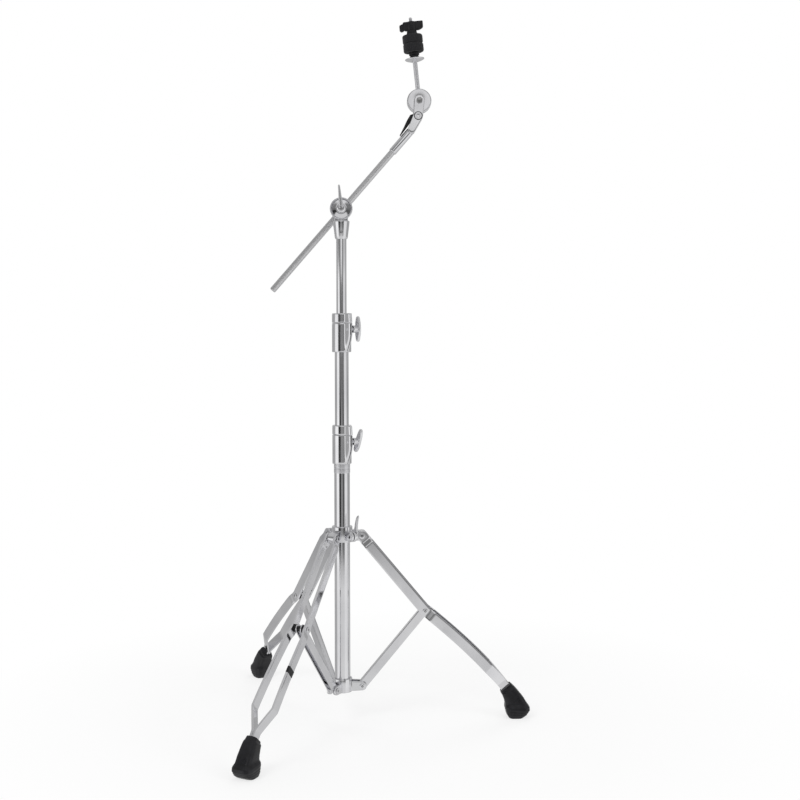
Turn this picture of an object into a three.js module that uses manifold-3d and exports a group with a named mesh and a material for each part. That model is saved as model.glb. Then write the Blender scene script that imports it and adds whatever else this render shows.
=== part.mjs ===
// Cymbal boom stand: a folding three-legged base, three telescoping tubes, a tilting boom and a
// cymbal holder. Millimetres and degrees, +Z up. The tube axis is the Z axis while the pieces are
// built, and the finished group is moved so that its box stands centred on the ground.
import * as THREE from 'three';
import { mergeVertices } from 'three/addons/utils/BufferGeometryUtils.js';
import Module from 'manifold-3d';

const wasm = await Module();
wasm.setup();

// ---- Fits ----
const FIT = 0.3;                   // gap between pieces that touch
const PIN_FIT = 0.4;               // radial gap of a pin in its hole
const WELD = 1e-4;                 // distance within which mesh corners are one
const ROUND = 24;                  // sides of a tube
const FINE = 12;                   // sides of a pin or bolt

// ---- Telescoping tubes ----
const UPPER_TUBE_RADIUS = 9.55;
const TUBE_WALL = 1.2;
const UPPER_PLAY = 1.95;           // upper tube to the bore of the middle tube
const MIDDLE_PLAY = 0.4;           // middle tube to the bore of the base tube
const BASE_TUBE_BOTTOM = 57;
const BASE_TUBE_LENGTH = 448;
const MIDDLE_TUBE_LENGTH = 515;
const MIDDLE_DRAWN_OUT = 205;
const UPPER_TUBE_LENGTH = 588;
const UPPER_DRAWN_OUT = 208;
const PLUG_HEIGHT = 10;

const MIDDLE_TUBE_RADIUS = UPPER_TUBE_RADIUS + UPPER_PLAY + TUBE_WALL;
const BASE_TUBE_RADIUS = MIDDLE_TUBE_RADIUS + MIDDLE_PLAY + TUBE_WALL;
const BASE_TUBE_TOP = BASE_TUBE_BOTTOM + BASE_TUBE_LENGTH;
const MIDDLE_TUBE_TOP = BASE_TUBE_TOP + MIDDLE_DRAWN_OUT;
const UPPER_TUBE_TOP = MIDDLE_TUBE_TOP + UPPER_DRAWN_OUT;

// ---- Height clamps ----
const CLAMP_WALL = 3.3;
const CLAMP_GRIP = 31;             // length of tube held in the clamp
const CLAMP_HEIGHT = 53.5;
const CAP_HEIGHT = 17.5;
const BUSH_WALL = 1.8;
const LUG_REACH = 33;
const LUG_THICKNESS = 14;
const LUG_FOOT = 10;               // height at which the lug leaves the clamp
const LUG_SHOULDER = 29;           // height at which the lug has its full reach
const CLAMP_BOLT_REACH = 25.5;
const CLAMP_BOLT_HEIGHT = 42;
const SPLIT = 1.6;
const LUG_AZIMUTH = -58.4;
const CLAMP_RADIUS = BASE_TUBE_RADIUS + CLAMP_WALL;

// ---- Wing bolts of the height clamps ----
const BOLT_RADIUS = 2.8;
const WING_HUB_LENGTH = 13;
const WING_HUB_RADIUS = 7;
const WING_REACH = 23;
const WING_WIDTH = 15;
const WING_THICKNESS = 5;
const BASE_WING_TURN = 25;         // the two bolts' wings at rest, from upright
const MIDDLE_WING_TURN = 0;

// ---- Folding base ----
const LEG_COUNT = 3;
const FIRST_LEG_AZIMUTH = 1.6;
const PIVOT_STANDOFF = 21.7;       // tube surface to the leg and strut pivots
const LINK_LENGTH = 180.5;         // strut, and upper part of each leg
const PIVOT_SPAN = 277;            // strut pivot up to leg pivot, with the stand open
const STRUT_PIVOT_HEIGHT = 64.5;
const PIN_RADIUS = 3;
const PIN_HEAD_RADIUS = 5.6;
const PIN_HEAD_HEIGHT = 2.2;
const COLLAR_WALL = 4.4;

const BAR_WIDTH = 18.5;
const BAR_THICKNESS = 4;
const BAR_END = 9.2;               // bar past its top pivot
const BAR_KNEE_ANGLE = 39;         // slope of the lower leg below its strut pivot
const BAR_FOOT_ANGLE = 52;         // slope of the lower leg at its foot
const BAR_KNEE_RUN = 126;          // tangent lengths of the lower leg's bow
const BAR_FOOT_RUN = 84;
const BAR_IN_FOOT = 24;
const BAR_SPLAY_MIDDLE = 13;       // half distances between the two bars of a leg
const BAR_SPLAY_LOWER = 16;
const BAR_SPLAY_WIDEST = 19.5;
const BAR_SPLAY_FOOT = 2.2;
const JOG_LENGTH = 8;
const JOG_START = 11;              // top pivot to the first jog
const LOWER_JOG_START = 8;         // strut pivot to the second jog
const PINCH_LENGTH = 46;           // length over which the bars come together
const JOINED_LENGTH = 12;          // length above the ankle where they lie side by side

const STRUT_WIDTH = 15.7;
const STRUT_THICKNESS = 11;
const STRUT_WALL = 2;
const EAR_THICKNESS = 3.2;
const EAR_RADIUS = 9;
const STRUT_COLLAR_HEIGHT = 22;
const STRUT_COLLAR_LIP = 2.7;
const STRUT_COLLAR_BORE = 11;
const SPOOL_WAIST = 4.7;
const SPOOL_FLANGE = 7;

const LEG_EAR_THICKNESS = 14;
const LEG_COLLAR_ABOVE = 17.5;     // collar above and below its leg pivots
const LEG_COLLAR_BELOW = 10.5;
const COLLAR_BOSS_RADIUS = 9;
const COLLAR_BOSS_REACH = 34;
const COLLAR_BOSS_HEIGHT = 2;
const COLLAR_BOSS_THICKNESS = 10.6;
const COLLAR_LEVER_REACH = 38.5;
const COLLAR_HUB_LENGTH = 5;

const PIVOT_RADIUS = BASE_TUBE_RADIUS + PIVOT_STANDOFF;
const LEG_PIVOT_HEIGHT = STRUT_PIVOT_HEIGHT + PIVOT_SPAN;
const LINK_TILT = Math.acos(PIVOT_SPAN / 2 / LINK_LENGTH);
const KNEE = new THREE.Vector2(
  PIVOT_RADIUS + LINK_LENGTH * Math.sin(LINK_TILT),
  STRUT_PIVOT_HEIGHT + LINK_LENGTH * Math.cos(LINK_TILT),
);
const BAR_SPLAY_TOP = LEG_EAR_THICKNESS / 2 + FIT + BAR_THICKNESS / 2;
const PIN_HOLE = PIN_RADIUS + PIN_FIT;

// ---- Rubber feet: the outline in the leg's plane, from the ankle, and half widths ----
const FOOT_SIDES = 20;
const FOOT_SECTIONS = [
  { inner: [-9, -7.6], outer: [9, 7.6], half: 10.2 },
  { inner: [-5.5, -15.6], outer: [23.5, -5.6], half: 12.8 },
  { inner: [-1.8, -24.5], outer: [36, -20], half: 15.4 },
  { inner: [-0.5, -31.5], outer: [45, -35], half: 17.8 },
  { inner: [-1, -38.5], outer: [46, -42.5], half: 19.6 },
  { inner: [1.6, -49.6], outer: [39.5, -50.6], half: 19 },
  { inner: [6, -55.6], outer: [31, -55.6], half: 16.5 },
];

// ---- Boom tilter ----
const BRACKET_SOCKET = 32;
const BRACKET_FOOT_RADIUS = 12;
const BRACKET_NECK_RADIUS = 15.4;
const BRACKET_PIVOT = 54.6;        // bracket foot up to the tilt axis
const BRACKET_HEAD_RADIUS = 18;
const BRACKET_HALF_DEPTH = 8;
const BRACKET_SCREW_HEIGHT = 12;
const BRACKET_SCREW_RADIUS = 2.2;
const DISC_RADIUS = 20.7;
const DISC_DEPTH = 6;
const TILT_BOLT_RADIUS = 3.5;
const NUT_HUB_RADIUS = 9;
const NUT_DEPTH = 13;
const NUT_REACH = 43;
const NUT_BLADE_ROOT = 7.2;
const NUT_BLADE_TIP = 3.4;
const NUT_LEAN = -5.5;             // the blade at rest, from upright
const BRACKET_TAPER = BRACKET_PIVOT - DISC_RADIUS - 2 * FIT;

// ---- Boom ----
const BOOM_ELEVATION = 48.9;
const BOOM_DROP = 0.72;            // boom axis below the tilt axis, square to the boom
const BOOM_RADIUS = 5.9;
const BOOM_TAIL = 196;
const SLEEVE_START = 143;
const SLEEVE_END = 190.7;
const SLEEVE_RADIUS = 7.4;
const BOOM_IN_SLEEVE = 20;
const BOOM_BUSH_WALL = 1.8;
const HOLDER_DISC_RADIUS = 16;
const HOLDER_DISC_DEPTH = 4.7;
const HOLDER_HALF_LENGTH = 16;
const HOLDER_WALL = 3.7;
const PIVOT_HEIGHT = UPPER_TUBE_TOP - BRACKET_SOCKET + BRACKET_PIVOT;
const BOOM_BUSH_RADIUS = BOOM_RADIUS + FIT + BOOM_BUSH_WALL;
const HOLDER_HALF_DEPTH = BOOM_BUSH_RADIUS + FIT + HOLDER_WALL;
const BOOM_SETBACK = BRACKET_HALF_DEPTH + FIT + HOLDER_DISC_DEPTH + HOLDER_HALF_DEPTH;

// ---- Cymbal tilter, along the boom (x) and square to it (z) ----
const WHEEL_ALONG = 246.5;
const WHEEL_ACROSS = 23.9;
const WHEEL_RADIUS = 22.6;
const WHEEL_HALF_DEPTH = 8;
const CHEEK = 4.5;
const CHEEK_HUB_RADIUS = 9.8;
const LEVER_HUB_RADIUS = 5.2;
const LEVER_HALF_DEPTH = 5;
const LEVER_NECK_RADIUS = 9;
const LEVER_BEARING = THREE.MathUtils.degToRad(216.26);    // lever's pivot from the wheel's centre
const LEVER_DISTANCE = WHEEL_RADIUS + LEVER_HUB_RADIUS + FIT * 2;
const LEVER_PIVOT_ALONG = WHEEL_ALONG + LEVER_DISTANCE * Math.cos(LEVER_BEARING);
const LEVER_PIVOT_ACROSS = WHEEL_ACROSS + LEVER_DISTANCE * Math.sin(LEVER_BEARING);
const SPIGOT_LENGTH = 20;
const LEVER_BOLT_RADIUS = 3;
const CHEEK_FACE = WHEEL_HALF_DEPTH + FIT + CHEEK;

// ---- Cymbal seat, along the cymbal rod from the wheel's centre ----
const CYMBAL_ROD_ANGLE = 47.05;    // cymbal rod to boom
const CYMBAL_ROD_RADIUS = 4.1;
const CYMBAL_ROD_FOOT = 12;
const CYMBAL_ROD_SHOULDER = 122;
const CYMBAL_ROD_TIP = 155.2;
const ROD_THREAD_RADIUS = 3;
const CUP_BOTTOM = 73.5;
const CUP_RADIUS = 18;
const CUP_HEIGHT = 5.5;
const CUP_METAL = 1.6;
const SEAT_SLEEVE_RADIUS = 6.2;
const SEAT_FLANGE_RADIUS = 9.5;
const SEAT_FLANGE_TOP = 90.7;
const SEAT_SLEEVE_TOP = 122;
const FELT_RADIUS = 19;
const FELT_HEIGHT = 15.6;
const FELT_EDGE = 2;
const WING_NUT_NECK_RADIUS = 10;
const WING_NUT_NECK = 8.5;
const WING_NUT_HEIGHT = 16;
const WING_NUT_HUB_RADIUS = 9;
const WING_NUT_REACH = 22;
const WING_NUT_THICKNESS = 9;

// ---- Finishes ----
const finish = (color, metalness, roughness) => (
  new THREE.MeshStandardMaterial({ color, metalness, roughness })
);
const CHROME = finish(0xd9dadd, 1, 0.08);
const KNURLED_STEEL = finish(0xa9a9ac, 1, 0.38);
const BLACK_NYLON = finish(0x17171a, 0, 0.5);
const BLACK_RUBBER = finish(0x131315, 0, 0.62);
const BLACK_FELT = finish(0x1d1d1f, 0, 0.95);

// ---- Solids ----

// A closed three.js geometry as a solid, whichever way its faces were wound.
function solidOf(geometry) {
  geometry.deleteAttribute('normal');
  geometry.deleteAttribute('uv');
  const merged = mergeVertices(geometry, WELD);
  const points = merged.attributes.position;
  const corner = new THREE.Vector3();
  const cross = new THREE.Vector3();
  const corners = [];
  for (let i = 0; i < points.count; i += 1) {
    corners.push(corner.fromBufferAttribute(points, i).clone());
  }
  const triangles = [];
  let sixfoldVolume = 0;
  for (let i = 0; i < merged.index.count; i += 3) {
    const [a, b, c] = [0, 1, 2].map((k) => merged.index.getX(i + k));
    if (a === b || b === c || a === c) continue;
    triangles.push([a, b, c]);
    sixfoldVolume += corners[a].dot(cross.crossVectors(corners[b], corners[c]));
  }
  const facing = sixfoldVolume > 0 ? triangles : triangles.map(([a, b, c]) => [a, c, b]);
  return new wasm.Manifold(new wasm.Mesh({
    numProp: 3,
    vertProperties: Float32Array.from(corners.flatMap((p) => [p.x, p.y, p.z])),
    triVerts: Uint32Array.from(facing.flat()),
  }));
}

// A solid of revolution about Z: profile corners are [radius, height].
function turned(profile, sides = ROUND) {
  const points = profile.map(([radius, height]) => new THREE.Vector2(radius, height));
  return solidOf(new THREE.LatheGeometry(points, sides).rotateX(Math.PI / 2));
}

// A ring or tube about Z.
function tube(inner, outer, bottom, top, sides = ROUND) {
  return turned([[inner, bottom], [outer, bottom], [outer, top], [inner, top], [inner, bottom]], sides);
}

// A round bar about Z.
function bar(radius, bottom, top, sides = FINE) {
  return turned([[0, bottom], [radius, bottom], [radius, top], [0, top]], sides);
}

const alongX = (solid) => solid.rotate([0, 90, 0]);
const alongY = (solid) => solid.rotate([-90, 0, 0]);

// A box given by its lowest and highest corners.
function block([x0, y0, z0], [x1, y1, z1]) {
  const geometry = new THREE.BoxGeometry(x1 - x0, y1 - y0, z1 - z0);
  return solidOf(geometry.translate((x0 + x1) / 2, (y0 + y1) / 2, (z0 + z1) / 2));
}

// A flat plate in the XZ plane from y0 to y1, with the outline's points as [x, z].
function plate(outline, y0, y1) {
  const shape = new THREE.Shape(outline.map(([x, z]) => new THREE.Vector2(x, z)));
  const geometry = new THREE.ExtrudeGeometry(shape, { depth: y1 - y0, bevelEnabled: false });
  return solidOf(geometry.rotateX(Math.PI / 2).translate(0, y1, 0));
}

// A round plate in the XZ plane.
function disc(x, z, radius, y0, y1, sides = FINE) {
  return alongY(bar(radius, y0, y1, sides)).translate([x, 0, z]);
}

// The outline round two circles, each given as [x, z, radius].
function strapOutline([x0, z0, r0], [x1, z1, r1], steps = 8) {
  const heading = Math.atan2(z1 - z0, x1 - x0);
  const lean = Math.acos((r0 - r1) / Math.hypot(x1 - x0, z1 - z0));
  const arc = (x, z, radius, from, to) => Array.from({ length: steps + 1 }, (_, i) => {
    const angle = from + (to - from) * (i / steps);
    return [x + radius * Math.cos(angle), z + radius * Math.sin(angle)];
  });
  return [
    ...arc(x1, z1, r1, heading - lean, heading + lean),
    ...arc(x0, z0, r0, heading + lean, heading + 2 * Math.PI - lean),
  ];
}

// A strap in the XZ plane round two circles.
const strap = (from, to, y0, y1) => plate(strapOutline(from, to), y0, y1);

// A rivet along Y with a head at each end; reach is half the grip between the heads.
function rivet(reach) {
  const end = reach + PIN_HEAD_HEIGHT;
  return alongY(turned([
    [0, -end], [PIN_HEAD_RADIUS, -end], [PIN_HEAD_RADIUS, -reach], [PIN_RADIUS, -reach],
    [PIN_RADIUS, reach], [PIN_HEAD_RADIUS, reach], [PIN_HEAD_RADIUS, end], [0, end],
  ], FINE));
}

// A loft through sections that each lie in a plane square to the XZ plane.
function lofted(sections, sides) {
  const rings = sections.length - 1;
  const geometry = new THREE.CylinderGeometry(1, 1, 1, sides, rings);
  const points = geometry.attributes.position;
  const SQUARENESS = 2.8;
  for (let i = 0; i < points.count; i += 1) {
    const [x, y, z] = [points.getX(i), points.getY(i), points.getZ(i)];
    const { inner, outer, half } = sections[Math.round((0.5 - y) * rings)];
    const sum = Math.abs(x) ** SQUARENESS + Math.abs(z) ** SQUARENESS;
    const swell = sum > WELD ? Math.hypot(x, z) / sum ** (1 / SQUARENESS) : 1;
    const reach = (x * swell + 1) / 2;
    points.setXYZ(
      i,
      inner[0] + (outer[0] - inner[0]) * reach,
      half * z * swell,
      inner[1] + (outer[1] - inner[1]) * reach,
    );
  }
  return solidOf(geometry);
}

// A finished piece: a named mesh with a material of its own.
function piece(name, solid, material) {
  const { vertProperties, triVerts } = solid.getMesh();
  const geometry = new THREE.BufferGeometry();
  geometry.setAttribute('position', new THREE.BufferAttribute(vertProperties, 3));
  geometry.setIndex(new THREE.BufferAttribute(triVerts, 1));
  geometry.computeVertexNormals();
  const mesh = new THREE.Mesh(geometry, material.clone());
  mesh.name = name;
  return mesh;
}

function groupOf(...members) {
  const group = new THREE.Group();
  group.add(...members);
  return group;
}

const radians = THREE.MathUtils.degToRad;

// ---- Tubes ----

function tubes() {
  const upright = (name, radius, top, length) => piece(
    name, tube(radius - TUBE_WALL, radius, top - length, top), CHROME,
  );
  const plugRadius = BASE_TUBE_RADIUS - TUBE_WALL - FIT;
  const plug = bar(plugRadius, BASE_TUBE_BOTTOM, BASE_TUBE_BOTTOM + PLUG_HEIGHT, ROUND);
  return groupOf(
    upright('base_tube', BASE_TUBE_RADIUS, BASE_TUBE_TOP, BASE_TUBE_LENGTH),
    upright('middle_tube', MIDDLE_TUBE_RADIUS, MIDDLE_TUBE_TOP, MIDDLE_TUBE_LENGTH),
    upright('upper_tube', UPPER_TUBE_RADIUS, UPPER_TUBE_TOP, UPPER_TUBE_LENGTH),
    piece('base_tube_plug', plug, BLACK_NYLON),
  );
}

// ---- Height clamps: the split lug points along X, its wing bolt lies along Y ----

function wingBolt(turn) {
  const hubStart = LUG_THICKNESS / 2 + FIT;
  const hubEnd = hubStart + WING_HUB_LENGTH;
  const stem = alongY(turned([
    [0, 1 - LUG_THICKNESS / 2], [BOLT_RADIUS, 1 - LUG_THICKNESS / 2], [BOLT_RADIUS, hubStart],
    [WING_HUB_RADIUS, hubStart], [WING_HUB_RADIUS * 0.8, hubEnd], [0, hubEnd],
  ], FINE));
  const half = WING_WIDTH / 2;
  const outline = [
    [-half * 0.55, WING_REACH * 0.97], [half * 0.1, WING_REACH], [half * 0.7, WING_REACH * 0.86],
    [half, WING_REACH * 0.5], [half * 0.95, 0],
    [half, -WING_REACH * 0.5], [half * 0.7, -WING_REACH * 0.86], [half * 0.1, -WING_REACH],
    [-half * 0.55, -WING_REACH * 0.97], [-half * 0.8, -WING_REACH * 0.6], [-half * 0.85, 0],
    [-half * 0.8, WING_REACH * 0.6],
  ];
  const wings = plate(outline, hubEnd - 2, hubEnd - 2 + WING_THICKNESS);
  return stem.add(wings).rotate([0, turn, 0]).translate([CLAMP_BOLT_REACH, 0, CLAMP_BOLT_HEIGHT]);
}

// A clamp on the top of one tube, with the bush and cap that guide the next tube.
function heightClamp(prefix, outerTube, innerTube, tubeTop, wingTurn) {
  const lugHalf = LUG_THICKNESS / 2;
  const bushBore = innerTube + FIT;
  const bushRadius = bushBore + BUSH_WALL;
  const bolt = alongY(bar(BOLT_RADIUS + PIN_FIT, -LUG_THICKNESS, LUG_THICKNESS));
  const lug = plate([
    [0, LUG_FOOT], [CLAMP_RADIUS - 1, LUG_FOOT], [LUG_REACH, LUG_SHOULDER],
    [LUG_REACH, CLAMP_HEIGHT], [0, CLAMP_HEIGHT],
  ], -lugHalf, lugHalf);
  const body = bar(CLAMP_RADIUS, 0, CLAMP_HEIGHT, ROUND)
    .add(lug)
    .subtract(bar(outerTube + FIT, -1, CLAMP_GRIP + FIT / 2, ROUND))
    .subtract(bar(bushRadius + FIT, CLAMP_GRIP, CLAMP_HEIGHT + 1, ROUND))
    .subtract(block([outerTube - 2, -SPLIT / 2, -1], [LUG_REACH + 1, SPLIT / 2, CLAMP_HEIGHT + 1]))
    .subtract(bolt.translate([CLAMP_BOLT_REACH, 0, CLAMP_BOLT_HEIGHT]));
  const capBottom = CLAMP_HEIGHT + FIT;
  const capTop = CLAMP_HEIGHT + CAP_HEIGHT;
  const capLug = plate([
    [0, capBottom], [LUG_REACH, capBottom], [LUG_REACH - 2, capTop], [0, capTop],
  ], -lugHalf, lugHalf);
  const cap = bar(CLAMP_RADIUS, capBottom, capTop, ROUND)
    .add(capLug)
    .subtract(bar(innerTube + FIT + PIN_FIT, capBottom - 1, capTop + 1, ROUND));
  const bushTop = CLAMP_HEIGHT - FIT;
  const clamp = groupOf(
    piece(`${prefix}_clamp`, body, CHROME),
    piece(`${prefix}_clamp_cap`, cap, CHROME),
    piece(`${prefix}_clamp_bush`, tube(bushBore, bushRadius, CLAMP_GRIP + FIT, bushTop), BLACK_NYLON),
    piece(`${prefix}_clamp_wing_bolt`, wingBolt(wingTurn), CHROME),
  );
  clamp.position.z = tubeTop - CLAMP_GRIP;
  clamp.rotation.z = radians(LUG_AZIMUTH);
  return clamp;
}

// ---- Folding base: each leg is built in the XZ plane, X away from the tube ----

const legAzimuth = (number) => radians(FIRST_LEG_AZIMUTH + (360 / LEG_COUNT) * (number - 1));
const legNumbers = Array.from({ length: LEG_COUNT }, (_, i) => i + 1);

// The centre line of a leg bar, from its top end to its end in the foot.
function legPath() {
  const top = new THREE.Vector2(PIVOT_RADIUS, LEG_PIVOT_HEIGHT);
  const down = KNEE.clone().sub(top).normalize();
  const start = top.clone().addScaledVector(down, -BAR_END);
  const sloping = (degrees) => new THREE.Vector2(Math.cos(radians(degrees)), -Math.sin(radians(degrees)));
  const bend = KNEE.clone().addScaledVector(sloping(BAR_KNEE_ANGLE), BAR_KNEE_RUN);
  const ankle = bend.clone().addScaledVector(sloping(BAR_FOOT_ANGLE), BAR_FOOT_RUN);
  const end = ankle.clone().addScaledVector(sloping(BAR_FOOT_ANGLE), BAR_IN_FOOT);
  const path = new THREE.CurvePath();
  path.add(new THREE.LineCurve(start, KNEE));
  path.add(new THREE.QuadraticBezierCurve(KNEE, bend, ankle));
  path.add(new THREE.LineCurve(ankle, end));
  return { path, ankle, end, sloping: sloping(BAR_FOOT_ANGLE) };
}

// One flat bar of a leg: a box bent along the leg's path, and set off sideways along its length.
function legBar(side) {
  const { path } = legPath();
  const length = path.getLength();
  const knee = BAR_END + LINK_LENGTH;
  const ankle = length - BAR_IN_FOOT;
  const splay = [
    [0, BAR_SPLAY_TOP], [BAR_END + JOG_START, BAR_SPLAY_TOP],
    [BAR_END + JOG_START + JOG_LENGTH, BAR_SPLAY_MIDDLE], [knee + LOWER_JOG_START, BAR_SPLAY_MIDDLE],
    [knee + LOWER_JOG_START + JOG_LENGTH, BAR_SPLAY_LOWER],
    [ankle - JOINED_LENGTH - PINCH_LENGTH, BAR_SPLAY_WIDEST],
    [ankle - JOINED_LENGTH, BAR_SPLAY_FOOT], [length, BAR_SPLAY_FOOT],
  ];
  const offsetAt = (s) => {
    const next = Math.max(1, splay.findIndex(([mark]) => mark >= s));
    const [[s0, y0], [s1, y1]] = [splay[next - 1], splay[next]];
    return THREE.MathUtils.lerp(y0, y1, (s - s0) / (s1 - s0));
  };
  const BOW_STEPS = 9;
  const bow = Array.from({ length: BOW_STEPS - 1 }, (_, i) => (
    THREE.MathUtils.lerp(knee, ankle, (i + 1) / BOW_STEPS)
  ));
  const rounded = [0.12, 0.45].map((share) => share * BAR_WIDTH / 2);
  const marks = [...splay.map(([mark]) => mark), ...rounded, BAR_END, knee, ...bow];
  const stations = [...new Set(marks)].sort((a, b) => a - b);
  const halfWidthAt = (s) => {
    const short = Math.max(0, 1 - s / (BAR_WIDTH / 2));
    return (BAR_WIDTH / 2) * Math.max(0.3, Math.sqrt(1 - short * short));
  };
  const geometry = new THREE.BoxGeometry(1, BAR_THICKNESS, 1, stations.length - 1, 1, 1);
  const points = geometry.attributes.position;
  for (let i = 0; i < points.count; i += 1) {
    const s = stations[Math.round((points.getX(i) + 0.5) * (stations.length - 1))];
    const centre = path.getPointAt(s / length);
    const heading = path.getTangentAt(s / length);
    const across = 2 * points.getZ(i) * halfWidthAt(s);
    points.setXYZ(
      i,
      centre.x - heading.y * across,
      side * offsetAt(s) + points.getY(i),
      centre.y + heading.x * across,
    );
  }
  const holes = [[PIVOT_RADIUS, LEG_PIVOT_HEIGHT], [KNEE.x, KNEE.y]];
  return holes.reduce(
    (solid, [x, z]) => solid.subtract(disc(x, z, PIN_HOLE, -BAR_SPLAY_WIDEST * 2, BAR_SPLAY_WIDEST * 2)),
    solidOf(geometry),
  );
}

// A channel with rounded ends, open on its lower side, between the strut pivot and the knee.
function strut() {
  const half = STRUT_WIDTH / 2;
  const web = half - STRUT_WALL;
  const inside = STRUT_THICKNESS / 2 - STRUT_WALL;
  const channel = strap([0, 0, half], [LINK_LENGTH, 0, half], -STRUT_THICKNESS / 2, STRUT_THICKNESS / 2)
    .subtract(block([-STRUT_WIDTH, -inside, -STRUT_WIDTH], [LINK_LENGTH + STRUT_WIDTH, inside, web]))
    .subtract(disc(0, 0, PIN_HOLE, -STRUT_THICKNESS, STRUT_THICKNESS))
    .subtract(disc(LINK_LENGTH, 0, SPOOL_WAIST + FIT, -STRUT_THICKNESS, STRUT_THICKNESS));
  return channel;
}

// The nylon spool that centres the strut's eye between the two leg bars.
function spool() {
  const end = BAR_SPLAY_MIDDLE - BAR_THICKNESS / 2 - FIT;
  const shoulder = STRUT_THICKNESS / 2 + FIT;
  return alongY(turned([
    [PIN_HOLE, -end], [SPOOL_FLANGE, -end], [SPOOL_FLANGE, -shoulder], [SPOOL_WAIST, -shoulder],
    [SPOOL_WAIST, shoulder], [SPOOL_FLANGE, shoulder], [SPOOL_FLANGE, end], [PIN_HOLE, end],
    [PIN_HOLE, -end],
  ], FINE));
}

// A rubber foot with a socket for the ends of both bars.
function foot() {
  const { end, ankle, sloping } = legPath();
  const halfWide = BAR_SPLAY_FOOT + BAR_THICKNESS / 2 + FIT;
  const halfHigh = BAR_WIDTH / 2 + FIT;
  const socket = block([-BAR_IN_FOOT * 2, -halfWide, -halfHigh], [FIT, halfWide, halfHigh])
    .rotate([0, THREE.MathUtils.radToDeg(Math.atan2(-sloping.y, sloping.x)), 0])
    .translate([end.x, 0, end.y]);
  return lofted(FOOT_SECTIONS, FOOT_SIDES).translate([ankle.x, 0, ankle.y]).subtract(socket);
}

function leg(number) {
  const eye = STRUT_THICKNESS / 2 + FIT + EAR_THICKNESS;
  const named = (name, solid, material, x = 0, z = 0) => {
    const mesh = piece(`${name}_${number}`, solid, material);
    mesh.position.set(x, 0, z);
    return mesh;
  };
  const topReach = BAR_SPLAY_TOP + BAR_THICKNESS / 2 + FIT;
  const middleReach = BAR_SPLAY_MIDDLE + BAR_THICKNESS / 2 + FIT;
  const channel = named('strut', strut(), CHROME, PIVOT_RADIUS, STRUT_PIVOT_HEIGHT);
  channel.rotation.y = LINK_TILT - Math.PI / 2;
  const whole = groupOf(
    named('leg_bar_left', legBar(-1), CHROME),
    named('leg_bar_right', legBar(1), CHROME),
    channel,
    named('strut_spool', spool(), BLACK_NYLON, KNEE.x, KNEE.y),
    named('leg_top_rivet', rivet(topReach), CHROME, PIVOT_RADIUS, LEG_PIVOT_HEIGHT),
    named('leg_middle_rivet', rivet(middleReach), CHROME, KNEE.x, KNEE.y),
    named('strut_rivet', rivet(eye + FIT), CHROME, PIVOT_RADIUS, STRUT_PIVOT_HEIGHT),
    named('rubber_foot', foot(), BLACK_RUBBER),
  );
  whole.rotation.z = legAzimuth(number);
  return whole;
}

// The solid repeated at each leg's azimuth.
const atEachLeg = (solid) => legNumbers
  .map((number) => solid.rotate([0, 0, THREE.MathUtils.radToDeg(legAzimuth(number))]));

// The fixed collar at the foot of the tube, with a pair of ears for each strut.
function strutCollar() {
  const radius = BASE_TUBE_RADIUS + COLLAR_WALL - 1;
  const bottom = BASE_TUBE_BOTTOM - STRUT_COLLAR_LIP - FIT;
  const eyeInner = STRUT_THICKNESS / 2 + FIT;
  const ear = (side) => strap(
    [radius - 5, STRUT_PIVOT_HEIGHT, EAR_RADIUS], [PIVOT_RADIUS, STRUT_PIVOT_HEIGHT, EAR_RADIUS - 1],
    Math.min(side * eyeInner, side * (eyeInner + EAR_THICKNESS)),
    Math.max(side * eyeInner, side * (eyeInner + EAR_THICKNESS)),
  );
  const ears = atEachLeg(ear(-1).add(ear(1))
    .subtract(disc(PIVOT_RADIUS, STRUT_PIVOT_HEIGHT, PIN_HOLE, -STRUT_THICKNESS * 2, STRUT_THICKNESS * 2)));
  const ring = bar(radius, bottom, bottom + STRUT_COLLAR_HEIGHT + STRUT_COLLAR_LIP, ROUND);
  return ears.reduce((solid, pair) => solid.add(pair), ring)
    .subtract(bar(STRUT_COLLAR_BORE, bottom - 1, BASE_TUBE_BOTTOM, ROUND))
    .subtract(bar(BASE_TUBE_RADIUS + FIT, BASE_TUBE_BOTTOM - FIT, LEG_PIVOT_HEIGHT, ROUND));
}

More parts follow.
